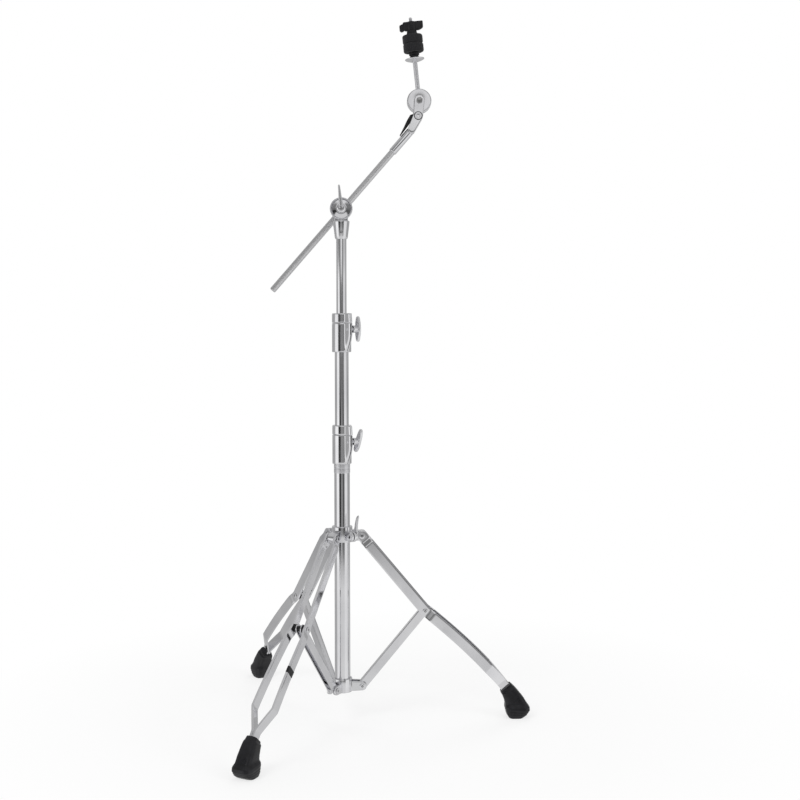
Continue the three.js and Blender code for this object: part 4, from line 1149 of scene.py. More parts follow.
@dataclass
class Leg:
    """One leg: two bowed flat bars, a channel strut, a spool, three rivets and a rubber foot.

    Attributes:
        number: Which leg it is, from 1.
        azimuth: Turn of its plane from X.
        path: The middle line that its bars follow.
        bar_width: Width of a bar.
        bar_thickness: Thickness of a bar.
        splay: Distances from the bar's top, each with the bar's sideways place there; after the first
            pair, a distance of 0 or less counts from the bar's lower end.
        link: Length of the strut between its pivots.
        strut_width: Width of the strut's walls.
        strut_depth: Depth of the strut along its pivots.
        strut_wall: Thickness of the strut's sheet.
        strut_pivot: Distance and height of the strut's inner pivot.
        painted_reflection_past_knee: Distance past the knee of a black sleeve on its right bar, a painted dark
            reflection; 0 for none.
        painted_reflection_length: Length of that sleeve.
        rivet: Radius of a rivet's shank, radius of its head, and the head's height.
    """

    number: int
    azimuth: float
    path: LegPath = field(default_factory=LegPath)
    bar_width: float = 18.5
    bar_thickness: float = 4.0
    splay: tuple[tuple[float, float], ...] = (
        (0.0, 9.3), (19.6, 9.3), (28.8, 13.0), (197.2, 13.0), (206.4, 16.0), (-75.0, 19.5), (-35.0, 2.2), (0.0, 2.2))
    link: float = 180.5
    strut_width: float = 15.7
    strut_depth: float = 11.0
    strut_wall: float = 2.0
    strut_pivot: tuple[float, float] = (36.0, 64.5)
    painted_reflection_past_knee: float = 0.0
    painted_reflection_length: float = 11.5
    rivet: tuple[float, float, float] = (3.0, 5.6, 1.1)

    def bar(self, side: int, proud: float = 0.0, start: float = 0.0, length: float | None = None) -> Shell:
        """A flat bar, or a sleeve on a part of it, carried down the leg's path.

        The section is a flat strip with eased edges. Its half width at distance s from the top is
        w sqrt(1 - (1 - s/w)^2) up to the bar's round end, and its sideways place follows the splay,
        smoothed at each step.

        Args:
            side: -1 for the left bar and 1 for the right.
            proud: How far a sleeve stands out from the bar.
            start: Distance of a sleeve from the bar's top.
            length: Length of a sleeve; None for the bar itself.

        Returns:
            The surface.
        """
        points, along, heading = self.path.points()
        half = self.bar_width / 2
        dense = np.unique(np.concatenate([half * (1 - np.cos(np.linspace(0.0, np.pi / 2, 9))),
                                          np.linspace(half, along[-1], 300)]))
        if length is not None:
            dense = np.linspace(start, start + length, 12)
        centre = np.stack([np.interp(dense, along, points[:, k]) for k in (0, 1)], -1)
        aim = np.stack([np.interp(dense, along, heading[:, k]) for k in (0, 1)], -1)
        marks = [mark if mark > 0 or k == 0 else along[-1] + mark for k, (mark, _) in enumerate(self.splay)]
        aside = sum(np.interp(dense + step, marks, [place for _, place in self.splay]) for step in (-1.2, 0, 1.2)) / 3
        width = np.where(dense < half, half * np.sqrt(np.clip(1 - (1 - dense / half) ** 2, 0.0025, 1)), half)
        path = np.stack([centre[:, 0], side * aside, centre[:, 1]], -1)
        across = np.stack([-aim[:, 1], np.zeros(len(dense)), aim[:, 0]], -1)
        sideways = np.tile([0.0, 1.0, 0.0], (len(dense), 1))
        section = strip_section(half, self.bar_thickness / 2, 0.35)
        thicker = 1 + proud / (self.bar_thickness / 2)
        return carried(path, across, sideways, section, np.stack([width + proud, np.full(len(dense), thicker)], -1))

    def strut(self) -> list[Shell]:
        """A folded channel: two walls round both pivots and a web along the top.

        Returns:
            Its surfaces, X from the inner to the outer pivot.
        """
        half, deep = self.strut_width / 2, self.strut_depth / 2
        inner = (0, 0, half)
        outer = (self.link, 0, half)
        walls = [strap(inner, outer, -deep, self.strut_wall - deep, 0.4),
                 strap(inner, outer, deep - self.strut_wall, deep, 0.4)]
        web = box_shell((0.5, -deep, half - self.strut_wall), (self.link - 0.5, deep, half), 0.8)
        return [*walls, web]

    def spool(self) -> Shell:
        """The nylon spool round the knee's rivet."""
        end, shoulder = 10.7, self.strut_depth / 2 + 0.3
        profile = [(3.4, -end), (7, -end), (7, -shoulder), (4.7, -shoulder),
                   (4.7, shoulder), (7, shoulder), (7, end), (3.4, end)]
        return turned(profile, 0.5, 48, ring=True).placed(ALONG_Y)

    def pin(self, reach: float) -> Shell:
        """A rivet along Y with a low flat head at each end.

        Args:
            reach: Half the grip between its heads.

        Returns:
            The surface.
        """
        shank, head, height = self.rivet
        end = reach + height
        half = [(shank, reach), (head - 0.6, reach), (head - 0.6, reach + 0.6), (head - 1.4, end), (0, end)]
        profile = [(r, -z) for r, z in reversed(half)] + half
        return turned(profile, 0.3, 40).placed(ALONG_Y)

    def pin_head_shades(self, reach: float) -> list[Shell]:
        """Dark discs in the middle of a rivet's heads, painted shade for their dimples.

        Args:
            reach: Half the grip between its heads.

        Returns:
            Their surfaces.
        """
        end = reach + self.rivet[2]
        eye = turned([(0, end - 0.6), (1.9, end - 0.6), (2.0, end + 0.06), (1.3, end + 0.08), (0, end - 0.2)], 0.15, 32)
        return [eye.placed(ALONG_Y), eye.placed(ALONG_Y @ rotation("X", 180))]

    def foot(self) -> list[Shell]:
        """The rubber foot: a ribbed boot that flares to a treaded sole.

        Sections lie between an inner and an outer point of the leg's plane. Between the measured
        sections they follow straight lines eased at the joins; the half width does too. The
        section's outline is a squircle, and the tread's ribs press the lowest part in and out.

        Returns:
            Its surfaces.
        """
        points, along, _ = self.path.points()
        ankle = np.array([np.interp(along[-1] - self.path.in_foot, along, points[:, k]) for k in (0, 1)])
        sections = np.array([
            [-9, -7.6, 9, 7.6, 9.4], [-9, -8.2, 9.8, 7.0, 10.0], [-8.4, -10.6, 13.0, 4.2, 10.4],
            [-7.4, -12.2, 17.0, 0.2, 12.9], [-5.5, -15.6, 22.5, -5.8, 13.4], [-1.8, -24.5, 33.6, -19.6, 14.4],
            [-0.9, -29.6, 38.6, -27.8, 14.9], [-0.7, -31.4, 40.4, -30.8, 15.4], [-1, -34.6, 44.6, -36.4, 18.4],
            [-1, -38.5, 45.0, -42.3, 18.9], [1.8, -49.6, 38.9, -50.6, 18.4], [5, -54.6, 32.4, -54.8, 17.0],
            [6, -55.6, 31, -55.6, 16.3]], float)
        count = 110
        t = np.linspace(0, len(sections) - 1, count)
        rows = np.stack([np.interp(t, np.arange(len(sections)), sections[:, k]) for k in range(5)], -1)
        smooth = np.array([0.25, 0.5, 0.25])
        rows[1:-1] = np.stack([np.convolve(rows[:, k], smooth, mode="valid") for k in range(5)], -1)
        ribs = np.where((t > 9.0) & (t < 10.9), 1 - np.abs(np.cos((t - 9.0) * np.pi / 0.475)), 0.0)
        turn = np.linspace(0, 2 * np.pi, 72, endpoint=False)
        bend = 2 / 3.8
        cos = np.sign(np.cos(turn)) * np.abs(np.cos(turn)) ** bend
        sin = np.sign(np.sin(turn)) * np.abs(np.sin(turn)) ** bend
        pressed = (1 - ribs * 0.022)[:, None]
        middle, reach = (rows[:, :2] + rows[:, 2:4]) / 2, (rows[:, 2:4] - rows[:, :2]) / 2
        flat = middle[:, None] + reach[:, None] * (cos[None, :, None] * pressed[..., None])
        depth = rows[:, 4:5] * sin[None] * pressed
        body = np.stack([ankle[0] + flat[..., 0], depth, ankle[1] + flat[..., 1]], -1)
        ends = [np.repeat(body[k].mean(axis=0)[None, None], len(turn), axis=1) for k in (0, -1)]
        lead = [ends[0] + (body[:1] - ends[0]) * s for s in (0.5, 0.86)]
        tail = [ends[1] + (body[-1:] - ends[1]) * s for s in (0.86, 0.5)]
        return [Shell(np.concatenate([ends[0], *lead, body, *tail, ends[1]]))]

    def build(self, bench: Bench) -> None:
        """Set down the leg's pieces.

        Args:
            bench: Where the pieces are made.
        """
        n, finishes = self.number, bench.finishes
        plane = rotation("Z", self.azimuth)
        knee = shift(self.path.knee[0], 0, self.path.knee[1])
        lean = math.degrees(math.acos((self.path.knee[1] - self.strut_pivot[1]) / self.link))
        strut_place = plane @ shift(self.strut_pivot[0], 0, self.strut_pivot[1]) @ rotation("Y", lean - 90)
        leg, strut = f"leg_{n}", f"strut_{n}"
        bench.stand_in((
            (f"leg_bar_left_{n}", [self.bar(-1)], plane, finishes.chrome, leg),
            (f"leg_bar_right_{n}", [self.bar(1)], plane, finishes.chrome, leg),
            (f"strut_{n}", self.strut(), strut_place, finishes.chrome, strut),
            (f"strut_spool_{n}", [self.spool()], plane @ knee, finishes.nylon, strut),
            (f"rubber_foot_{n}", self.foot(), plane, finishes.rubber, leg),
        ))
        top = shift(self.path.pivot[0], 0, self.path.pivot[1])
        foot = shift(self.strut_pivot[0], 0, self.strut_pivot[1])
        for name, reach, place, body in (("leg_top_rivet", 11.6, top, "leg_collar"),
                                         ("leg_middle_rivet", 15.3, knee, f"leg_{n}"),
                                         ("strut_rivet", 9.3, foot, "root")):
            # painted shade: the rivets' heads carry dark discs in their dimples
            bench.set_down(f"{name}_{n}_made", [self.pin(reach)], plane @ place, finishes.chrome, body,
                           (f"{name}_{n}",), self.pin_head_shades(reach), finishes.shade)
        # painted reflection: a black nylon sleeve on the right bar stands for a dark reflection at a bend of the bar
        if self.painted_reflection_past_knee:
            start = self.path.past_pivot + self.link + self.painted_reflection_past_knee
            painted_reflection = self.bar(1, 0.3, start, self.painted_reflection_length)
            bench.set_down(f"bar_painted_reflection_{n}", [painted_reflection], plane, finishes.nylon, leg)


@dataclass
class FoldingBase:
    """The fixed and the sliding collar, the collar's bolt and the three legs.

    Attributes:
        first_azimuth: Turn of the first leg from X.
        legs: How many legs there are.
        tube_radius: Radius of the base tube.
        pivot_reach: Distance from the axis of the legs' top pivots and the struts' inner ones.
        fixed: Radius, bottom and top of the fixed collar.
        fixed_ears: Height of its ears, and the sides of each along their pivot.
        sliding: Radius, bottom and top of the sliding collar.
        sliding_ears: Height of its lugs, the radius of their ends, and half their thickness.
        bolt_place: Distance of the collar's bolt from the axis, and its height.
        bolt_azimuth: Turn of the bolt's boss from X.
        boss_half: Half thickness of the boss.
        lever_reach: Height of the thumb lever's tip over the bolt.
        painted_reflections: For each leg, the distance past its knee of the black sleeve of painted dark reflection; 0
            for none.
    """

    first_azimuth: float = 1.6
    legs: int = 3
    tube_radius: float = 14.3
    pivot_reach: float = 36.0
    fixed: tuple[float, float, float] = (17.7, 54.0, 78.7)
    fixed_ears: tuple[float, float, float] = (64.5, 5.8, 9.0)
    sliding: tuple[float, float, float] = (18.7, 331.0, 359.0)
    sliding_ears: tuple[float, float, float] = (341.5, 9.0, 7.0)
    bolt_place: tuple[float, float] = (34.0, 343.5)
    bolt_azimuth: float = -58.4
    boss_half: float = 5.3
    lever_reach: float = 38.5
    painted_reflections: tuple[float, float, float] = (0.0, 0.0, 80.0)

    def azimuths(self) -> list[float]:
        """The legs' turns from X."""
        return [self.first_azimuth + 360 / self.legs * k for k in range(self.legs)]

    def fixed_collar(self) -> list[Shell]:
        """The collar at the tube's foot: a ring with an inner lip and a pair of ears for each strut.

        Returns:
            Its surfaces.
        """
        radius, low, high = self.fixed
        wall, lip = self.tube_radius + 0.3, low + 2.7
        ring = turned([(11, low), (radius, low), (radius, high), (wall, high), (wall, lip), (11, lip)],
                      [0.3, 1.2, 1.0, 0.4, 0.2, 0.2], 96, ring=True)
        height, inner, outer = self.fixed_ears
        outline = tongue((14.0, height - 9, height + 9), (self.pivot_reach, height, 8.0))
        ears = [slab(outline, *sides, 0.7).placed(rotation("Z", azimuth))
                for azimuth in self.azimuths() for sides in ((inner, outer), (-outer, -inner))]
        return [ring, *ears]

    def sliding_collar(self) -> list[Shell]:
        """The collar that the legs hang from: a ring, a lug for each leg and a split boss for the bolt.

        Returns:
            Its surfaces.
        """
        radius, low, high = self.sliding
        ring = pipe(self.tube_radius + 0.4, radius, low, high, 1.0, 96)
        height, end, half = self.sliding_ears
        outline = tongue((16.2, height - 9.3, height + 11.3), (self.pivot_reach, height, end))
        lugs = [slab(outline, -half, half, 1.0).placed(rotation("Z", azimuth)) for azimuth in self.azimuths()]
        reach, level = self.bolt_place
        boss = tongue((16.2, level - 9, level + 9), (reach, level, 9.0))
        halves = [slab(boss, *sides, 0.8, hole=(reach, level, 3.2)).placed(rotation("Z", self.bolt_azimuth))
                  for sides in ((-self.boss_half, -0.8), (0.8, self.boss_half))]
        return [ring, *lugs, *halves]

    def boss_ring(self) -> Shell:
        """The bright ring round the bolt's hole, on the boss's outer face, along Y."""
        face = -self.boss_half
        profile = [(2.5, face + 1), (5.6, face + 1), (5.6, face - 0.2), (4.9, face - 0.9), (3.2, face - 0.9),
                   (2.5, face - 0.3)]
        return turned(profile, 0.5, 48, ring=True).placed(ALONG_Y)

    def boss_hole_shade(self) -> Shell:
        """A dark plug in the hole inside that ring, painted shade, along Y."""
        face = -self.boss_half
        return turned([(0, face - 0.2), (2.7, face - 0.2), (2.7, face + 3), (0, face + 3)], 0.2, 32).placed(ALONG_Y)

    def collar_bolt(self) -> list[Shell]:
        """The collar's bolt along Y with a curved thumb lever that stands up from its hub.

        The lever's middle line moves out along Y by the cube of its share of the height.

        Returns:
            Its surfaces.
        """
        face = self.boss_half + 0.3
        hub = turned([(0, face), (7, face), (7, face + 3), (5.95, face + 5), (0, face + 5)], 0.9)
        stem = threaded(2.8, 0.35, 1.0, 1.5 - self.boss_half, face + 1)
        rise = np.linspace(0, 1, 32)
        height = -5 + (self.lever_reach + 5) * rise
        path = np.stack([3.0 * rise ** 3, face + 2.9 + 3.4 * rise ** 3, height], -1)
        half = 5.8 - 3.2 * rise
        round_from, rounding = 0.88, 0.12
        tip = np.sqrt(np.clip(1 - np.clip((rise - round_from) / rounding, 0, 1) ** 2, 0.02, 1))
        section = squircle(1.0, 2.0, 3.0, 32)
        blade = carried(path, np.tile([1.0, 0, 0], (32, 1)), np.tile([0, 1.0, 0], (32, 1)), section,
                        np.stack([half * tip, np.clip(tip, 0.4, 1)], -1))
        return [hub.placed(ALONG_Y), stem.placed(ALONG_Y), blade]

    def build(self, bench: Bench) -> None:
        """Set down the collars, the bolt and the legs.

        Args:
            bench: Where the pieces are made.
        """
        cast = bench.finishes.cast
        bench.set_down("strut_collar_cast", self.fixed_collar(), np.eye(4), cast, "root",
                       ("strut_collar",))
        place = rotation("Z", self.bolt_azimuth) @ shift(self.bolt_place[0], 0, self.bolt_place[1])
        # painted shade: the boss's hole holds a dark plug
        bench.set_down("leg_collar_cast", [*self.sliding_collar(), self.boss_ring().placed(place)], np.eye(4), cast,
                       "leg_collar", ("leg_collar",), [self.boss_hole_shade().placed(place)], bench.finishes.shade)
        bench.set_down("leg_collar_bolt_cast", self.collar_bolt(), place, cast, "leg_collar_bolt",
                       ("leg_collar_bolt",))
        for k, azimuth in enumerate(self.azimuths()):
            Leg(k + 1, azimuth, painted_reflection_past_knee=self.painted_reflections[k]).build(bench)


@dataclass
class BoomTilter:
    """The bracket on the upper tube, the dished disc and the nut with one long blade.

    The axes stand on the tilt axis: Y along it, Z up.

    Attributes:
        height: Height of the tilt axis.
        foot: Height of the bracket's foot below it.
        foot_radius: Radius of the socket at its foot.
        neck_radius: Radius of the socket at its top.
        taper: Height of the socket.
        head_radius: Radius of the round head.
        half_depth: Half depth of the bracket along the tilt axis.
        disc_radius: Radius of the dished disc.
        nut_reach: Distance of the blade's tip from the tilt axis.
        nut_lean: Angle of the blade from upright, at rest.
    """

    height: float = 940.6
    foot: float = -54.6
    foot_radius: float = 12.0
    neck_radius: float = 15.4
    taper: float = 33.3
    head_radius: float = 18.0
    half_depth: float = 8.0
    disc_radius: float = 20.7
    nut_reach: float = 43.0
    nut_lean: float = -5.5

    def bracket(self) -> list[Shell]:
        """The tapered socket, the neck and the round head.

        Returns:
            Its surfaces.
        """
        top = self.foot + self.taper
        bore = 9.85
        socket = turned([(bore, self.foot), (self.foot_radius - 1.2, self.foot), (self.foot_radius, self.foot + 3),
                         (self.neck_radius - 0.3, top - 5), (self.neck_radius, top - 1.5), (self.neck_radius - 1, top),
                         (bore, top)], [0.3, 0.8, 1.5, 3, 1, 0.6, 0.3], 96, ring=True)
        floor = turned([(0, self.foot + 32.4), (bore + 0.5, self.foot + 32.4), (bore + 0.5, top), (0, top)], 0.2)
        neck = box_shell((-self.neck_radius * 0.8, -self.half_depth, top - 1), (self.neck_radius * 0.8,
                         self.half_depth, 0), 1.2)
        head = turned([(0, -self.half_depth), (self.head_radius, -self.half_depth),
                       (self.head_radius, self.half_depth), (0, self.half_depth)], 1.2, 96)
        return [socket, floor, neck, head.placed(ALONG_Y)]

    def front_disc(self) -> Shell:
        """The disc in front of the bracket: a low cone that falls to a moat inside a bright rolled rim.

        Returns:
            Its surface.
        """
        back, front = -self.half_depth - 0.3, -self.half_depth - 6.3
        r = self.disc_radius
        profile = [(3.9, back), (r - 0.4, back), (r - 0.4, front + 2.0), (r - 2.4, front + 2.0),
                   (r - 2.4, front + 4.4), (10.0, front + 2.1), (3.9, front + 2.0)]
        return turned(profile, [0.2, 0.6, 0.3, 0.3, 0.6, 1.0, 0.2], 96, ring=True).placed(ALONG_Y)

    def disc_rim(self) -> Shell:
        """The disc's rolled rim, along Y."""
        back, front, r = -self.half_depth - 0.3, -self.half_depth - 6.3, self.disc_radius
        profile = [(r - 1.4, back), (r, back - 0.8), (r, front + 1.2), (r - 0.7, front + 0.1), (r - 1.5, front),
                   (r - 2.4, front + 0.3), (r - 2.8, front + 1.2), (r - 2.8, front + 2.6), (r - 1.4, front + 2.6)]
        return turned(profile, 0.8, 96, ring=True).placed(ALONG_Y)

    def wing_nut(self) -> list[Shell]:
        """The nut's domed hub and its one long tapering blade.

        The blade is a squircle carried up Z; its half width at height z falls in a straight line
        from the root to the tip and its end closes in a quarter ellipse.

        Returns:
            Its surfaces.
        """
        back = -self.half_depth - 4.6
        front = back - 13.0
        hub = turned([(3.9, back), (9.0, back), (9.0, front + 3.6), (7.2, front + 1.0), (5.4, front), (4.2, front),
                      (3.9, front + 1.4)], [0.3, 0.5, 1.6, 1.0, 0.5, 0.3, 0.4], 64, ring=True)
        cap = turned([(0, front + 1.6), (4.2, front + 1.6), (4.2, back - 1), (0, back - 1)], 0.5)
        rise = np.linspace(0, 1, 48)
        z = self.nut_reach * rise
        root, end, hub_radius = 3.6, 1.7, 9.0
        half = root - (root - end) * np.clip((z - hub_radius) / (self.nut_reach - hub_radius), 0, 1)
        tip = np.sqrt(np.clip(1 - (np.clip(rise - 0.95, 0, 1) / 0.05) ** 2, 0.02, 1))
        y_back, y_front = -16.0, front
        middle, deep = (y_back + y_front) / 2, (y_back - y_front) / 2
        path = np.stack([0 * z, middle + 0 * z, z], -1)
        section = squircle(1.0, 1.0, 3.2, 40)
        blade = carried(path, np.tile([1.0, 0, 0], (48, 1)), np.tile([0, 1.0, 0], (48, 1)), section,
                        np.stack([half * tip, deep * tip], -1))
        return [hub.placed(ALONG_Y), cap.placed(ALONG_Y), blade]

    def build(self, bench: Bench) -> None:
        """Set down the bracket, its screw, the disc, the bolt and the wing nut.

        Args:
            bench: Where the pieces are made.
        """
        place, finishes = shift(z=self.height), bench.finishes
        bolt = turned([(0, -23.3), (3.5, -23.3), (3.5, 11.7), (0, 11.7)], 0.4, 48).placed(ALONG_Y)
        screw = turned([(0, -12.9), (1.1, -12.9), (1.1, -12.9), (1.4, -13.5), (2.2, -13.5), (2.2, -9.85), (0, -9.85)],
                       0.15, 32).placed(ALONG_Y).placed(shift(z=self.foot + 12))
        bench.stand_in((
            ("boom_bracket", self.bracket(), place, finishes.chrome, "upper_tube"),
            ("boom_bracket_screw", [screw], place, finishes.shade, "upper_tube"),
            ("boom_tilter_bolt", [bolt], place, finishes.steel, "boom_holder"),
            ("boom_wing_nut", self.wing_nut(), place @ rotation("Y", self.nut_lean), finishes.cast, "boom_wing_nut"),
        ))
        bench.set_down("boom_tilter_disc_made", [self.front_disc()], place, finishes.chrome, "upper_tube",
                       ("boom_tilter_disc",), [self.disc_rim()], finishes.brushed)


@dataclass
class Boom:
    """The holder, the knurled rod, its chromed sleeve and the cymbal tilter.

    The axes stand on the boom: X up it, Y back, Z square to it.

    Attributes:
        elevation: Angle of the boom over the floor.
        drop: Distance of the boom's axis below the tilt axis.
        setback: Distance behind the tubes' axis.
        height: Height of the tilt axis.
        radius: Radius of the rod.
        tail: Place of the rod's lower end.
        sleeve: Radius, start and end of the sleeve.
        wheel: X and Z of the wheel's centre.
        wheel_half: Half thickness of the wheel.
        cheek: Thickness of a cheek.
        lever: X and Z of the release lever's pivot.
    """

    elevation: float = 48.9
    drop: float = 0.72
    setback: float = 25.0
    height: float = 940.6
    radius: float = 5.9
    tail: float = -196.0
    sleeve: tuple[float, float, float] = (7.4, 143.0, 190.7)
    wheel: tuple[float, float] = (246.5, 23.9)
    wheel_half: float = 8.0
    cheek: float = 4.5
    lever: tuple[float, float] = (223.601, 7.102)

    def place(self) -> Array:
        """Placement of the boom's axes in the stand's."""
        lean = math.radians(self.elevation)
        foot = shift(self.drop * math.sin(lean), self.setback, self.height - self.drop * math.cos(lean))
        return foot @ rotation("Y", -self.elevation)

    def rod(self) -> Shell:
        """The rod, with a chamfered end."""
        r, end = self.radius, self.sleeve[1] + 20
        profile = [(0, self.tail), (r - 1.5, self.tail), (r, self.tail + 1.5), (r, end), (0, end)]
        return turned(profile, [0, 0.4, 0.6, 0.3, 0], 64).placed(ALONG_X)

    def sleeve_tube(self) -> Shell:
        """The sleeve, rolled in at its lower rim."""
        r, low, high = self.sleeve
        return turned([(self.radius + 0.3, low), (r - 0.8, low), (r, low + 1.4), (r, high), (self.radius + 0.3, high)],
                      [0.2, 0.6, 0.8, 0.4, 0.2], 72, ring=True).placed(ALONG_X)

    def fork(self) -> list[Shell]:
        """The tilter's base: a cone on the sleeve, two cheeks round the wheel and a spigot.

        Returns:
            Its surfaces.
        """
        inner, outer = self.wheel_half + 0.3, self.wheel_half + 0.3 + self.cheek
        low = self.sleeve[2] + 0.3
        hub = (*self.wheel, 9.8)
        heel = (self.lever[0], self.lever[1], 9.0)
        neck = (low + 6.4, 0.0, 7.0)
        cheeks = [strap(heel, hub, -outer, -inner, 1.2), strap(heel, hub, inner, outer, 1.2)]
        sides = [strap(neck, heel, -outer, -5.3, 1.0), strap(neck, heel, 5.3, outer, 1.0)]
        floor = strap((low + 6.4, -2.2, 4.6), (self.lever[0] - 2.0, self.lever[1] - 7.5, 1.2), -outer + 0.4,
                      outer - 0.4, 0.8)
        cone = turned([(0, low), (7.4, low), (7.0, low + 5), (6.0, low + 9), (0, low + 9)], 0.5, 64).placed(ALONG_X)
        spigot = turned([(0, low - 20), (5.4, low - 20), (self.radius, low - 19), (self.radius, low + 4),
                         (0, low + 4)], 0.3, 48).placed(ALONG_X)
        return [*cheeks, *sides, floor, cone, spigot]

    def lever_blade(self) -> list[Shell]:
        """The release lever: a hub on its pivot and a thumb blade, widest at its shoulder.

        Returns:
            Its surfaces.
        """
        x, z = self.lever
        outline = eased([(x + 1.8, z + 4), (x - 3.4, z + 10.6), (x - 7, z + 12.8), (x - 20, z + 10.5), (x - 34, 13.2),
                         (x - 48, 10.0), (x - 48.6, 8.2), (x - 30, 9.2), (x - 15, 10.6), (x - 4, z + 3)],
                        [0.5, 2, 3, 6, 6, 0.8, 0.8, 6, 4, 0.8])
        blade = slab(outline, -5, 5, 1.6, 0.3)
        hub = turned([(0, -5), (5.2, -5), (5.2, 5), (0, 5)], 0.5, 48).placed(ALONG_Y).placed(shift(x, 0, z))
        return [blade, hub]

    @staticmethod
    def bolt(radius: float, head: float, height: float, face: float, hexagon: bool) -> list[Shell]:
        """A bolt along Y through the cheeks, with its head in front.

        Args:
            radius: Shank.
            head: Radius of the head.
            height: Height of the head.
            face: Half depth of the cheeks.
            hexagon: Whether the head has six flats and a socket, or is a low ring with a recess.

        Returns:
            Its surfaces.
        """
        front = -face - 0.3
        shank = turned([(0, front), (radius, front), (radius, face + 0.9), (0, face + 0.9)], 0.3, 40)
        if hexagon:
            corners = [(head * math.cos(math.radians(60 * k + 30)), head * math.sin(math.radians(60 * k + 30)))
                       for k in range(6)]
            nut = slab(eased(corners, 0.6), front - height, front, 0.5, 0.5)
            return [shank.placed(ALONG_Y), nut]
        cap = turned([(0, front), (head, front), (head, front - height + 0.9), (head - 0.9, front - height),
                      (head * 0.55, front - height), (head * 0.45, front - height + 1.2),
                      (0, front - height + 1.2)], 0.5, 56)
        return [shank.placed(ALONG_Y), cap.placed(ALONG_Y)]

    def build(self, bench: Bench) -> None:
        """Set down the holder, the boom and the tilter's fixed pieces.

        Args:
            bench: Where the pieces are made.
        """
        finishes, place = bench.finishes, self.place()
        bench.recast("boom_holder", finishes.cast, "boom_holder", 0.8)
        bush = turned([(6.2, -15), (8.0, -15), (8.0, 15), (6.2, 15)], 0.3, 64, ring=True).placed(ALONG_X)
        face = self.wheel_half + 0.3 + self.cheek
        at_wheel, at_lever = shift(self.wheel[0], 0, self.wheel[1]), shift(self.lever[0], 0, self.lever[1])
        bench.stand_in((
            ("boom_bush", [bush], place, finishes.nylon, "boom_bush"),
            ("boom_rod", [self.rod()], place, finishes.knurl, "boom"),
            ("boom_sleeve", [self.sleeve_tube()], place, finishes.chrome, "boom"),
            ("tilter_base", self.fork(), place, finishes.cast, "boom"),
            ("tilter_lever", self.lever_blade(), place, finishes.nylon, "tilter_lever"),
            ("tilter_pivot_bolt", self.bolt(3.5, 6.0, 4.0, face, True), place @ at_wheel, finishes.steel, "boom"),
            ("tilter_lever_bolt", self.bolt(3.0, 6.6, 3.0, face, False), place @ at_lever, finishes.chrome, "boom"),
        ))
        CymbalSeat().build(bench, place @ at_wheel)


